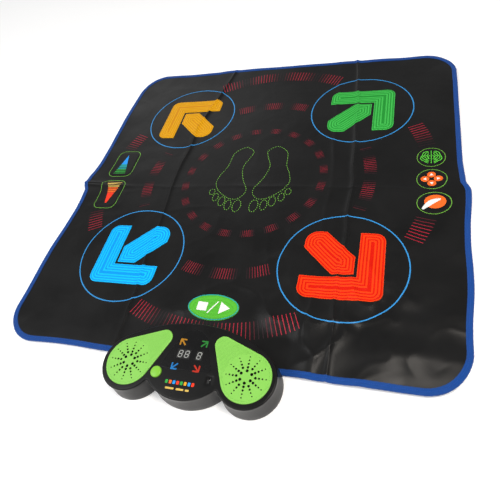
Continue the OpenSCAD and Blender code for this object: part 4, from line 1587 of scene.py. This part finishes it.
    def upper_case(self, finish: bpy.types.Material) -> bpy.types.Object:
        """The glossy top: a skirt, a rolled rim and a plate with its pockets."""
        shape, rim = Shape(), 2.6
        profile = [(2.2, self.parting), (0.3, self.parting), (0.0, self.parting + 0.3),
                   (0.0, self.parting + 3)]
        profile += fillet(0.0, self.height - rim, rim, 7) + [(rim + 0.7, self.height)]
        shape.add_rings(stack(self.outline, profile))
        tops, unders = [], []
        for side in (-1, 1):
            top, under = self.opening(shape, lambda g, s=side: self.grille(s, 0.3 + g), 3.3)
            tops.append(top)
            unders.append(under)
        for outline, ledge, edge in ((lambda g: self.window(0.12 + g), 2.2, 0.1),
                                     (lambda g: circle(self.button_at, 10.4 + g, 56), 0, 0.3)):
            top, under = self.opening(shape, outline, ledge, edge)
            tops.append(top)
            unders.append(under)
        mouth = [(0.3, self.height), (0.1, self.height - 0.06), (0.0, self.height - 0.3),
                 (0.0, self.height - 1)]
        shape.add_rings(np.stack([ring_at(self.switch(10, 14, 1.2, g), z) for g, z in mouth]))
        slot = self.switch(5.0, 10.8, 0.6)
        shape.add_patch(cut_patch(self.switch(10, 14, 1.2), [slot]), self.height - 1)
        shape.add_rings(np.stack([ring_at(slot, self.height - 1), ring_at(slot, self.plate)]))
        tops.append(self.switch(10, 14, 1.2, 0.3))
        unders.append(slot)
        shape.add_patch(cut_patch(self.outline(rim + 0.7), tops, 5.0), self.height)
        shape.add_patch(cut_patch(self.outline(2.2), unders), self.plate, up=False)
        shape.add_rings(stack(self.outline, [(2.2, self.plate), (2.2, self.parting)]))
        return self.write("upper_shell", shape, [finish], ROOT, ["upper_case"], sharp=32)

    def door_loop(self, grow: float = 0.0) -> Array:
        """Outline of the battery door with its screw tab, grown by grow."""
        x, low, high = 34 + grow, -67 - grow, -7 + grow
        tab, arm = 42 + grow, 7 + grow
        return np.array([(-x, low), (x, low), (x, -37 - arm), (tab, -37 - arm), (tab, -37 + arm),
                         (x, -37 + arm),
                         (x, high), (-x, high)], float)

    def lower_case(self, finish: bpy.types.Material) -> bpy.types.Object:
        """The matt tray: walls that flare by 3.6 mm towards a rounded foot, and a stepped floor.

        The wall's inset at height z is 0.6 - 3.6 ((38 - z) / 37)^1.2. Its front part stands
        near the floor and its back part is a shelf over the mat.
        """
        shape, inner = Shape(), 2.8
        loop = self.outline(0.6)
        ahead = np.roll(loop, -1, 0)
        cross = np.flatnonzero((loop[:, 1] - self.step) * (ahead[:, 1] - self.step) < 0)
        right, left = max(cross, key=lambda i: loop[i, 0]), min(cross, key=lambda i: loop[i, 0])
        count = len(loop)
        rear = np.arange(right, left + 1)
        front = np.arange(left, right + count + 1) % count

        def wall_inset(z: float) -> float:
            """The wall's inset at a height."""
            return 0.6 - 3.6 * ((self.parting - z) / (self.parting - self.base)) ** 1.2

        def rings(index: Array, low: float) -> Array:
            """The outer wall over part of the outline, from its foot to the parting line."""
            heights = [low, low + 0.12, low + 0.45, low + 1.3, 12, 20, 28, 34, self.parting - 0.25,
                       self.parting]
            extra = [1.3, 0.75, 0.3, 0.0, 0.0, 0.0, 0.0, 0.0, 0.0, 0.25]
            rows = []
            for z, more in zip(heights, extra):
                row = ring_at(self.outline(wall_inset(z) + more), z)[index]
                row[[0, -1], 1] = self.step
                rows.append(row)
            return np.stack(rows)

        front_wall, rear_wall = rings(front, self.base), rings(rear, self.shelf)
        shape.add_rings(front_wall, close=False)
        shape.add_rings(rear_wall, close=False)
        floor = front_wall[0][:, :2]
        holes = [self.door_loop(0.3)]
        holes += [circle((s * x, y), 3.05, 28) for x, y in self.screws for s in (-1, 1) if y < -10]
        shape.add_patch(cut_patch(floor if signed_area(floor) > 0 else floor[::-1], holes, 9),
                        self.base, up=False)
        ceiling = rear_wall[0][:, :2]
        shape.add_patch(cut_patch(ceiling if signed_area(ceiling) > 0 else ceiling[::-1], (), 12),
                        self.shelf, up=False)
        x0, x1 = sorted((floor[0, 0], floor[-1, 0]))
        riser = np.array([[(x0, self.step, self.base), (x1, self.step, self.base)],
                          [(x0, self.step, self.shelf), (x1, self.step, self.shelf)]])
        shape.add_rings(riser[::-1], close=False)
        for hole in holes[1:]:
            shape.add_rings(np.stack([ring_at(hole, 4.4), ring_at(hole, self.base)]))
            shape.add_patch(cut_patch(hole), 4.4, up=False)
        bay = np.array([(-31, -64), (31, -64), (31, -10), (-31, -10)], float)
        recess = self.door_loop(0.3)
        shape.add_rings(np.stack([ring_at(recess, 2.8), ring_at(recess, self.base)]))
        shape.add_patch(cut_patch(recess, [bay, circle((39, -37), 1.25, 16)]), 2.8, up=False)
        shape.add_rings(np.stack([ring_at(bay, 16.6), ring_at(bay, 2.8)]))
        shape.add_patch(cut_patch(bay), 16.6, up=False)
        lip = [self.outline(0.85), self.outline(inner)]
        shape.add_rings(np.stack([ring_at(lip[0], self.parting), ring_at(lip[1], self.parting),
                                  ring_at(lip[1], 7.5)]))
        shape.add_patch(cut_patch(lip[1]), 7.5)
        return self.write("lower_shell", shape, [finish], ROOT, ["lower_case"], sharp=32)

    def sound_holes(self, side: int) -> list[Array]:
        """The holes of one grille: circles on twelve arms, every other arm without the first."""
        cx, cy = side * 110.0, -25.5
        made = []
        for k in range(12):
            angle = math.radians(90 + 30 * k)
            for i in range(k % 2, len(self.hole_rows)):
                r, size = self.hole_rows[i]
                made.append(circle((cx + r * math.cos(angle), cy + r * math.sin(angle)), size, 18))
        return made

    def grille_plate(self, side: int, finish: bpy.types.Material,
                     shade: bpy.types.Material) -> bpy.types.Object:
        """A raised speaker grille with a rolled edge and drilled holes."""
        shape, top = Shape(), self.height + 0.8
        profile = [(0.0, self.pocket), (0.0, self.height - 0.4), *fillet(0.0, top - 1.0, 1.0, 6),
                   (1.5, top)]
        shape.add_rings(stack(lambda inset: self.grille(side, -inset), profile))
        mouths, drills = [], []
        for hole in self.sound_holes(side):
            c = hole.mean(0)
            r = float(np.linalg.norm(hole[0] - c))
            rows = [(r + 0.38, top), (r + 0.22, top), (r + 0.06, top - 0.07), (r, top - 0.25),
                    (r, self.pocket)]
            shape.add_rings(np.stack([ring_at(circle(c, size, 18), z) for size, z in rows[:4]]))
            shape.add_rings(np.stack([ring_at(circle(c, size, 18), z) for size, z in rows[3:]]), 1)
            mouths.append(circle(c, r + 0.38, 18))
            drills.append(circle(c, r, 18))
        shape.add_patch(cut_patch(self.grille(side, -1.5), mouths, 4), top)
        shape.add_patch(cut_patch(self.grille(side, 0.0), drills), self.pocket, up=False)
        node = ("left" if side < 0 else "right") + "_grille"
        return self.write(f"{node}_plate", shape, [finish, shade], ROOT, [node])

    def stipple(self, finish: bpy.types.Material) -> bpy.types.Object:
        """Tiny domes in a hexagonal grid over both grilles, outside the circle of holes, in a
        darker copy of the grille's green as painted shade.
        """
        pitch, shape = 2.5, Shape()
        gx, gy = np.meshgrid(np.arange(-60, 61), np.arange(-60, 61))
        grid = np.stack([(gx + 0.5 * (gy % 2)).ravel() * pitch + 95,
                         gy.ravel() * pitch * math.sqrt(3) / 2], 1)
        loop = self.grille(1, -3.0)
        grid = grid[inside(grid, loop)]
        grid = grid[np.linalg.norm(grid - [110, -25.5], axis=1) > 39.0]
        turn = np.radians(np.arange(8) * 45)
        unit = np.stack([np.cos(turn), np.sin(turn)], 1)
        for side in (-1, 1):
            centres = grid * [side, 1]
            low = centres[:, None] + 0.62 * unit
            mid = centres[:, None] + 0.38 * unit
            z = self.height + 0.8
            points = np.concatenate([
                np.concatenate([low, np.full(low.shape[:2] + (1,), z - 0.05)], -1),
                np.concatenate([mid, np.full(mid.shape[:2] + (1,), z + 0.2)], -1),
                np.concatenate([centres[:, None], np.full((len(centres), 1, 1), z + 0.27)], -1)], 1)
            k = np.arange(8)
            quads = np.stack([k, (k + 1) % 8, 8 + (k + 1) % 8, 8 + k], 1)
            fans = np.stack([8 + k, 8 + (k + 1) % 8, np.full(8, 16)], 1)
            base = 17 * np.arange(len(centres))[:, None, None]
            shape.add(points.reshape(-1, 3),
                      [(quads[None] + base).reshape(-1, 4), (fans[None] + base).reshape(-1, 3)])
        return self.write("grille_stipple", shape, [finish], ROOT, slot="green_grille", sharp=60)

    def display_window(self, finish: bpy.types.Material) -> bpy.types.Object:
        """The smoked window, flush with the plate, with a rolled edge."""
        shape = Shape()
        profile = [(0.0, self.pocket), *fillet(0.0, self.height - 0.12, 0.12, 3),
                   (0.5, self.height)]
        shape.add_rings(stack(lambda inset: self.window(-inset), profile))
        shape.add_patch(cut_patch(self.window(-0.5), (), 5), self.height)
        shape.add_patch(cut_patch(self.window(0.0)), self.pocket, up=False)
        return self.write("smoked_window", shape, [finish], ROOT, ["display_window"])

    def power_button(self, finish: bpy.types.Material) -> bpy.types.Object:
        """The button: a collar, a straight side and a dome, turned about its middle.

        The dome's height at radius r is 3.6 - 1.3 (r / 9.4)^2.6 over the plate.
        """
        top = self.height + 3.6
        r = np.linspace(9.4, 0.6, 12)
        profile = [(3.0, 39.6), (3.0, 40.8), (11.3, 40.8), (11.3, 42.0), (10.0, 42.0),
                   (10.0, top - 2.2), (9.8, top - 1.75)]
        profile += list(zip(r, top - 1.3 * (r / 9.4) ** 2.6))
        shape = Shape()
        shape.add_rings(stack(lambda size: circle(self.button_at, size, 56), profile), cap=True)
        foot = circle(self.button_at, 3.0, 56)
        shape.add_patch(cut_patch(foot), 39.6, up=False)
        return self.write("power_dome", shape, [finish], "power_key", ["power_button"], sharp=40)

    def switch_knob(self, finish: bpy.types.Material) -> bpy.types.Object:
        """The slide switch's knob, its top ridged as 0.35 |sin(3 pi y / depth)|^0.7."""
        cx, cy = self.switch_at[0], self.switch_at[1] - 2.5
        y = np.linspace(-2.5, 2.5, 25)
        z = self.height + 0.2 + 0.35 * np.abs(np.sin(3 * math.pi * (y + 2.5) / 5)) ** 0.7
        low = self.height - 5
        loop = np.concatenate([[(-2.5, low), (2.5, low)], np.stack([y[::-1], z[::-1]], 1)])
        xs = [cx - 2.1, cx - 2.0, cx + 2.0, cx + 2.1]
        rings = []
        for i, x in enumerate(xs):
            roof = 99 if 0 < i < 3 else self.height + 0.25
            rings.append(np.column_stack([np.full(len(loop), x), loop[:, 0] + cy,
                                          np.minimum(loop[:, 1], roof)]))
        rings = np.stack(rings)
        shape = Shape()
        shape.add_rings(rings, cap=True)
        shape.add(np.concatenate([rings[0], rings[0].mean(0)[None]]),
                  [np.stack([np.roll(np.arange(len(loop)), -1), np.arange(len(loop)),
                             np.full(len(loop), len(loop))], 1)])
        return self.write("switch_slider", shape, [finish], "sound_switch", ["switch_knob"])


@dataclass
class ConsolePrints:
    """Small prints on the console's top.

    Attributes:
        console: the console they are on.
        icon_width: size of the four arrow icons.
        icons: paint, middle and pointing side of each icon.
    """

    console: Console
    icon_width: float = 12.4
    icons: tuple[tuple[str, float, float, int, int], ...] = (
        ("YELLOW", -18.2, 21.2, -1, 1), ("GREEN", 22.7, 21.8, 1, 1),
        ("BLUE", -20.9, -24.1, -1, -1), ("RED", 20.8, -23.6, 1, -1))

    def lay(self, points: Array, lift: Array | float) -> Array:
        """Plane points in the console's frame as points on its top."""
        return np.column_stack([points[:, 0], points[:, 1] + self.console.shift,
                                np.full(len(points), self.console.height) + lift])

    def bar(self, start: Sequence[float], end: Sequence[float], width: float) -> Array:
        """A bar with pointed ends: six corners round the line from start to end."""
        p, q = np.array(start, float), np.array(end, float)
        run = (q - p) / np.linalg.norm(q - p)
        side = np.array([-run[1], run[0]]) * width / 2
        return np.array([p, p + run * width / 2 - side, q - run * width / 2 - side, q,
                         q - run * width / 2 + side, p + run * width / 2 + side])

    def digit(self, x: float, y: float) -> list[Array]:
        """The seven bars of a figure eight, leaning by 0.12."""
        w, h, t, g = 3.3, 5.9, 1.5, 0.25
        ends = [((-w + g, h), (w - g, h)), ((-w + g, 0), (w - g, 0)), ((-w + g, -h), (w - g, -h))]
        ends += [((s * w, g + k), (s * w, h - g + k)) for s in (-1, 1) for k in (0, -h)]
        return [self.bar(a, b, t) * [1, 1] @ np.array([[1, 0], [0.12, 1]]) + [x, y] for a,
                b in ends]

    def build(self, mat: Mat, finishes: dict[str, bpy.types.Material]) -> list[bpy.types.Object]:
        """Builds the icons, the figures and the rows of plain bars in place of lettering.

        Args:
            mat: gives the arrow's outlines.
            finishes: inks by name.

        Returns:
            The pieces.
        """
        made = []
        icons = Decals(self.lay, 0.06)
        order = ["YELLOW", "GREEN", "BLUE", "RED"]
        for paint, x, y, sx, sy in self.icons:
            centre = np.array([sx * mat.arrow_at, mat.art_y + sy * mat.arrow_at])
            for loop in Mat(arrow_bar=34, arrow_shaft=25, arrow_split=1.5).arrow(sx, sy):
                icons.fill((loop - centre) * self.icon_width / mat.arrow_size + [x, y],
                           order.index(paint), step=1.5)
        made.append(icons.piece("console_icons", [finishes[f"ICON_{k}"] for k in order], ROOT,
                                "component"))
        figures = Decals(self.lay, 0.06)
        for x in (-16.6, -4.4, 19.0):
            for loop in self.digit(x, -0.6):
                figures.fill(loop, step=2)
        for x, w in ((-10.5, 25.2), (19.0, 12.6)):
            figures.fill(round_box((x, -0.6), w, 17.5, 1.0, 0, 4), 1, raise_by=-0.03)
        made.append(figures.piece("display_figures", [finishes["FIGURE"], finishes["pane"]], ROOT,
                                  "digit"))
        bars = Decals(self.lay, 0.05)
        paints = ["GREEN", "ORANGE", "BLUE", "RED", "GREEN", "YELLOW", "BLUE", "RED"]
        slots = ["GREEN", "ORANGE", "BLUE", "RED", "YELLOW", "GOLD"]
        for k, paint in enumerate(paints):
            bars.fill(round_box((-26 + 7.0 * k, -51.6), 4.9, 6.2, 1.1, 0, 4), slots.index(paint),
                      step=2)
        for x, w in ((-17, 16), (2, 14), (15.5, 7)):
            bars.fill(round_box((x, -62.3), w, 3.4, 1.2, 0, 4), slots.index("GOLD"), step=2)
        made.append(bars.piece("console_bars", [finishes[k] for k in slots], ROOT, "component"))
        return made


# ------------------------------------------------------------------- studio


@dataclass
class Studio:
    """Pale floor, soft lights and the camera.

    Attributes:
        eye: place of the camera in metres.
        right: its right-hand direction.
        up: its upward direction.
        back: the direction it looks away from.
        lens: focal length in millimetres on a 36 mm wide sensor.
    """

    eye: tuple[float, float, float] = (0.32904, -0.70823, 0.72338)
    right: tuple[float, float, float] = (0.94953, 0.21834, -0.22520)
    up: tuple[float, float, float] = (-0.04663, 0.80823, 0.58701)
    back: tuple[float, float, float] = (0.31018, -0.54689, 0.77763)
    lens: float = 31.6

    def camera(self) -> None:
        """Places the camera."""
        data = bpy.data.cameras.new("camera")
        data.lens, data.sensor_width, data.clip_start = self.lens, 36.0, 0.01
        camera = bpy.data.objects.new("camera", data)
        bpy.context.scene.collection.objects.link(camera)
        turn = Matrix((self.right, self.up, self.back)).transposed().to_4x4()
        camera.matrix_world = Matrix.Translation(self.eye) @ turn
        bpy.context.scene.camera = camera

    def floor(self) -> bpy.types.Object:
        """A pale floor, a grid on which z is 0 everywhere, with a faint tone of its own."""
        n = Nodes("pale_floor")
        cloud = n.grain(600, 3, 0.5)
        finish = n.finish(Base_Color=n.mix(cloud, (0.93, 0.93, 0.93), (0.96, 0.96, 0.96)),
                          Roughness=0.85,
                          Emission_Color=(1.0, 1.0, 1.0), Emission_Strength=0.16)
        axis = np.linspace(-6000, 6000, 9)
        gx, gy = np.meshgrid(axis, axis)
        points = np.column_stack([gx.ravel(), gy.ravel(), np.full(gx.size, -0.6)])
        shape = Shape()
        shape.add_rings(points.reshape(9, 9, 3)[::-1][:, ::-1], close=False)
        piece = shape_object("studio_floor", shape, [finish])
        return piece

    def light(self, name: str, at: Sequence[float], towards: Sequence[float], size: float,
              power: float,
              tint: Colour = (1.0, 1.0, 1.0)) -> None:
        """A square soft light.

        Args:
            name: its name.
            at: its place in metres.
            towards: the point it faces.
            size: its side in metres.
            power: its power in watts.
            tint: its colour.
        """
        data = bpy.data.lights.new(name, "AREA")
        data.size, data.energy, data.color = size, power, tint
        lamp = bpy.data.objects.new(name, data)
        bpy.context.scene.collection.objects.link(lamp)
        lamp.location = at
        lamp.rotation_euler = (Vector(towards) - Vector(at)).to_track_quat("-Z", "Y").to_euler()

    def build(self) -> None:
        """Builds the whole studio."""
        self.camera()
        self.floor()
        self.light("key_light", (-1.7, -0.7, 2.3), (0, 0, 0), 1.5, 30)
        self.light("side_light", (0.66, -0.42, 1.5), (0.34, -0.36, 0), 0.5, 16, (1.0, 0.93, 0.85))
        self.light("front_light", (-0.4, -2.0, 1.9), (0, -0.3, 0), 1.8, 15)
        self.light("back_light", (-1.9, 3.0, 1.9), (-0.3, 0.5, 0), 1.8, 9)
        world = bpy.data.worlds.new("studio_air")
        world.use_nodes = True
        world.node_tree.nodes["Background"].inputs[0].default_value = (1.0, 1.0, 1.0, 1.0)
        world.node_tree.nodes["Background"].inputs[1].default_value = 0.45
        bpy.context.scene.world = world
        bpy.context.scene.view_settings.view_transform = "Standard"


# --------------------------------------------------------------------- main


def finishes() -> dict[str, bpy.types.Material]:
    """Every finish of the new pieces, by a short name."""
    stripe = {"yellow": ((0.62, 0.25, 0.002), (0.72, 0.37, 0.005)),
              "green": ((0.014, 0.26, 0.030), (0.05, 0.46, 0.075)),
              "blue": ((0.0008, 0.29, 0.78), (0.004, 0.50, 1.0)),
              "red": ((0.62, 0.007, 0.0004), (0.80, 0.046, 0.003))}
    made = {name: StripedPrint(f"{name}_print", light, dark, 6.4, 0.45).make() for name,
            (dark, light) in stripe.items()}
    made["start"] = StripedPrint("start_print", (0.09, 0.45, 0.035), (0.08, 0.41, 0.03), 8.0,
                                 0.3).make()
    made["black"] = SatinSheet("black_print", (0.0042, 0.0042, 0.0043), (0.007, 0.007, 0.0072),
                               (0.34, 0.44), 0.5).make()
    made["cover"] = SatinSheet("cover_cloth", (0.0040, 0.0040, 0.0041),
                               (0.0075, 0.0075, 0.0077)).make()
    made["backing"] = SatinSheet("backing_cloth", (0.020, 0.020, 0.021), (0.034, 0.034, 0.035),
                                 (0.6, 0.75), 0.8).make()
    made["contact"] = Moulding("contact_sheet", (0.05, 0.05, 0.055), (0.09, 0.09, 0.1), 0.5).make()
    made["tape"] = RibbedTape("binding_tape", (0.0025, 0.070, 0.34), (0.0016, 0.036, 0.18)).make()
    made["thread"] = RibbedTape("binding_thread", (0.012, 0.10, 0.50), (0.006, 0.05, 0.3),
                                0.5).make()
    made["ring"] = Ink("ring_ink", Paint.RING_BLUE.value).make()
    made["tick"] = Ink("tick_ink", Paint.CRIMSON.value, (0.010, 0.005, 0.008)).make()
    made["sole"] = Ink("outline_ink", (0.15, 0.40, 0.045)).make()
    for paint in Paint:
        made[paint.name] = Ink(f"{paint.name.lower()}_ink", paint.value).make()
    for name in ("YELLOW", "GREEN", "BLUE", "RED"):
        shown = tuple(0.5 * c for c in Paint[name].value)
        made[f"ICON_{name}"] = Ink(f"{name.lower()}_icon", shown).make()
    made["FIGURE"] = Ink("figure_ink", (0.30, 0.31, 0.30), glow=0.12).make()
    made["gloss"] = Moulding("black_gloss", (0.0034, 0.0034, 0.0035), (0.006, 0.006, 0.006), 0.3,
                             0.7, 0.002, 0.05, shine=0.18).make()
    made["tray"] = Moulding("grey_case", (0.013, 0.013, 0.0133), (0.022, 0.022, 0.0225), 0.42, 0.45,
                            0.02, shine=0.3).make()
    made["grille"] = Moulding("green_grille", (0.20, 0.52, 0.072), (0.24, 0.56, 0.10), 0.36, 0.6,
                              0.006).make()
    # a darker copy of the grille's green: painted shade on the stipple's domes
    made["dots"] = Moulding("grille_dots", (0.11, 0.36, 0.035), (0.14, 0.40, 0.05), 0.4, 0.6,
                            0.004).make()
    made["smoke"] = Moulding("smoked_window", (0.003, 0.003, 0.0033), (0.005, 0.005, 0.0055), 0.24,
                             0.9, 0.003, 0.08, shine=0.18).make()
    made["button"] = Moulding("green_button", (0.19, 0.50, 0.032), (0.23, 0.53, 0.06), 0.34, 0.6,
                              0.006).make()
    made["pane"] = Moulding("display_pane", (0.010, 0.010, 0.010), (0.014, 0.014, 0.014), 0.3,
                            shine=0.25).make()
    made["shade"] = Moulding("hole_shade", (0.004, 0.004, 0.004), (0.006, 0.006, 0.006), 0.8,
                             shine=0.1).make()
    made["knob"] = Moulding("black_plastic", (0.009, 0.009, 0.009), (0.02, 0.02, 0.02), 0.4).make()
    return made


def dress_frame(frame: dict, made: dict[str, bpy.types.Material]) -> None:
    """Gives each CAD node that stays in view a finish for what it is made of.

    Args:
        frame: the loaded frame.
        made: finishes that are already there.
    """
    steel = Brushed("steel", (0.55, 0.55, 0.56)).make()
    plate = Brushed("spring_plate", (0.62, 0.60, 0.55), (1, 1, 10)).make()
    ferrite = Moulding("ferrite", (0.05, 0.05, 0.055), (0.11, 0.11, 0.12), 0.5, 0.4, 0.03).make()
    table = {
        "steel": (steel,
                  ["clamp_screws", "board_screws", "case_screws", "door_screw", "slide_switch"]),
        "spring": (plate, ["battery_springs", "battery_plates"]),
        "ferrite": (ferrite, ["left_speaker_magnet", "right_speaker_magnet"]),
        "rubber": (Moulding("rubber", (0.012, 0.012, 0.012), (0.03, 0.03, 0.03), 0.75, 0.5,
                            0.04).make(),
                   ["rubber_feet", "speaker_gaskets"]),
        "door": (made["tray"], ["battery_door"]),
        "plastic": (made["knob"],
                    ["clamp_bar", "tact_switch", "board_components", "left_speaker_frame",
                                   "right_speaker_frame"]),
        "board": (Laminate("board", (0.008, 0.09, 0.03), (0.03, 0.2, 0.07)).make(), ["main_board"]),
        "digit": (Moulding("digit_block", (0.16, 0.16, 0.16), (0.3, 0.3, 0.3), 0.35).make(),
                  ["two_digit_display", "one_digit_display"]),
        "led": (Moulding("led_lens", (0.7, 0.7, 0.66), (0.8, 0.8, 0.78), 0.2, 0.6, 0.004, 0.4,
                         0.3).make(), ["arrow_leds"]),
        "connector": (Moulding("connector", (0.75, 0.73, 0.66), (0.6, 0.58, 0.5), 0.4).make(),
                      ["tail_connector"]),
        "tail": (Laminate("tail", (0.42, 0.16, 0.03), (0.6, 0.3, 0.1)).make(), ["sensor_tail"]),
        "paper": (SatinSheet("paper", (0.014, 0.014, 0.015), (0.03, 0.03, 0.03), (0.7, 0.85),
                             0.3).make(),
                  ["left_speaker_cone", "right_speaker_cone"]),
        "cell": (Brushed("cell", (0.35, 0.24, 0.05), (12, 1, 1)).make(), ["battery_cells"]),
        "wire": (Moulding("wire", (0.4, 0.02, 0.015), (0.5, 0.05, 0.03), 0.45, 0.4).make(),
                 ["speaker_leads", "battery_leads"]),
    }
    for finish, nodes in table.values():
        for node in nodes:
            mesh = frame["nodes"][node].data
            for k in range(max(1, len(mesh.materials))):
                if len(mesh.materials) > k:
                    mesh.materials[k] = finish
                else:
                    mesh.materials.append(finish)
    LOG.info("frame: %d nodes dressed", sum(len(nodes) for _, nodes in table.values()))


def key_prints(mat: Mat, keys: dict[str, Key], made: dict[str, bpy.types.Material]) -> None:
    """The small prints on the start, volume and mode keys.

    Args:
        mat: the mat.
        keys: its keys by name.
        made: finishes by name.
    """
    surface = mat.surface
    start = Decals(keys["start"].top(surface), 0.3)
    start.line(oval(mat.start_at, *mat.start_size, -1.6), 1.8, closed=True, slot=1)
    start.fill(round_box((-22.5, -345.5), 20, 19, 0.8, 0, 3), 0)
    start.fill(np.array([(-10.4, -359), (-7.6, -359), (9.4, -332), (6.6, -332)], float), 0)
    start.fill(np.array([(14, -359), (35, -345.5), (14, -332)], float), 0)
    start.piece("start_marks", [made["WHITE"], made["TEAL"]], "start_key", "green_print")

    for side, name in ((1, "volume_up"), (-1, "volume_down")):
        marks = Decals(keys[name].top(surface), 0.3)
        for k in range(12):
            if side > 0:
                low = 26 + 5.7 * k
                x, high = -378, low + min(5.75, 2.2 + 0.6 * k)
                w0, w1 = (17 * (1 - (z - 26) / 70) for z in (low, high))
            else:
                high = -8 - 6.0 * k
                x, low = -374, high - min(6.05, 2.0 + 0.62 * k)
                w0, w1 = (20 * (1 - (-6 - z) / 84) for z in (low, high))
            strip = np.array([(x - w0, low), (x + w0, low), (x + w1, high), (x - w1, high)], float)
            marks.fill(strip, max(0, 2 - k // 3))
        paints = ["BLUE", "TEAL", "GREEN"] if side > 0 else ["RED", "ORANGE", "GOLD"]
        marks.piece(f"{name}_marks", [made[p] for p in paints] + [made["sole"]], f"{name}_key",
                    "black_print")

    for name, row in (("memory", 1), ("pattern", 0), ("challenge", -1)):
        centre = np.array([mat.mode_x, mat.mode_pitch * row])
        marks = Decals(keys[name].top(surface), 0.3)
        if name == "memory":
            for s in (-1, 1):
                for k, r in enumerate((4.5, 9.2, 13.8, 18.2)):
                    a = np.radians(np.linspace(-80, 80, 30))
                    wave = r + 1.3 * np.sin(5 * a + k)
                    marks.line(centre + np.stack([s * (2.4 + wave * np.cos(a)), wave * np.sin(a)],
                                                 1), 1.7, slot=3)
            marks.line(centre + np.array([(0, y) for y in np.linspace(-20, 20, 12)]), 1.4, slot=3)
        elif name == "pattern":
            for k in range(4):
                a = math.radians(90 * k)
                at = centre + 12.6 * np.array([math.cos(a), math.sin(a)])
                marks.fill(circle(at, 8.4, 40), 1)
                tip = np.array([[4.2, 0], [-2.6, 3.8], [-2.6, -3.8]])
                turn = np.array([[math.cos(a), math.sin(a)], [-math.sin(a), math.cos(a)]])
                marks.fill(tip @ turn + at, 2, raise_by=0.15)
        else:
            marks.fill(circle(centre + [2, 3], 18, 64), 1)
            t = np.linspace(0, 1, 20)
            spine = np.stack([-19 + 30 * t, -17 + 27 * t + 5 * np.sin(math.pi * t)], 1)
            width = (5.5 * np.sin(math.pi * (0.08 + 0.86 * t)) ** 0.8)[:, None] * [-0.66, 0.75]
            marks.fill(np.concatenate([spine - width, (spine + width)[::-1]]) + centre, 2,
                       raise_by=0.15, step=2.5)
        marks.piece(f"{name}_marks", [made[p] for p in ("sole", "ORANGE", "WHITE", "BRIGHT_GREEN")],
                    f"{name}_key",
                    "black_print")


def main() -> None:
    """Builds every piece in order."""
    logging.basicConfig(level=logging.INFO, format="%(name)s: %(message)s", stream=sys.stdout)
    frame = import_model()
    Studio().build()
    made = finishes()
    dress_frame(frame, made)

    mat = Mat()
    keys = mat.keys()
    cover, area = mat.cover(keys.values(), made["cover"])
    backing = mat.backing(made["backing"])
    binding = mat.binding(made["tape"])
    thread = mat.stitches(made["thread"])
    art = mat.artwork(made)
    for name, key in keys.items():
        piece = key.build(mat.surface, [made.get(name, made["black"]), made["contact"]])
    key_prints(mat, keys, made)

    console = Console()
    console.lower_case(made["tray"])
    console.upper_case(made["gloss"])
    for side in (-1, 1):
        console.grille_plate(side, made["grille"], made["shade"])
    console.stipple(made["dots"])
    console.display_window(made["smoke"])
    console.power_button(made["button"])
    console.switch_knob(made["knob"])
    ConsolePrints(console).build(mat, made)


if __name__ == "__main__":
    main()
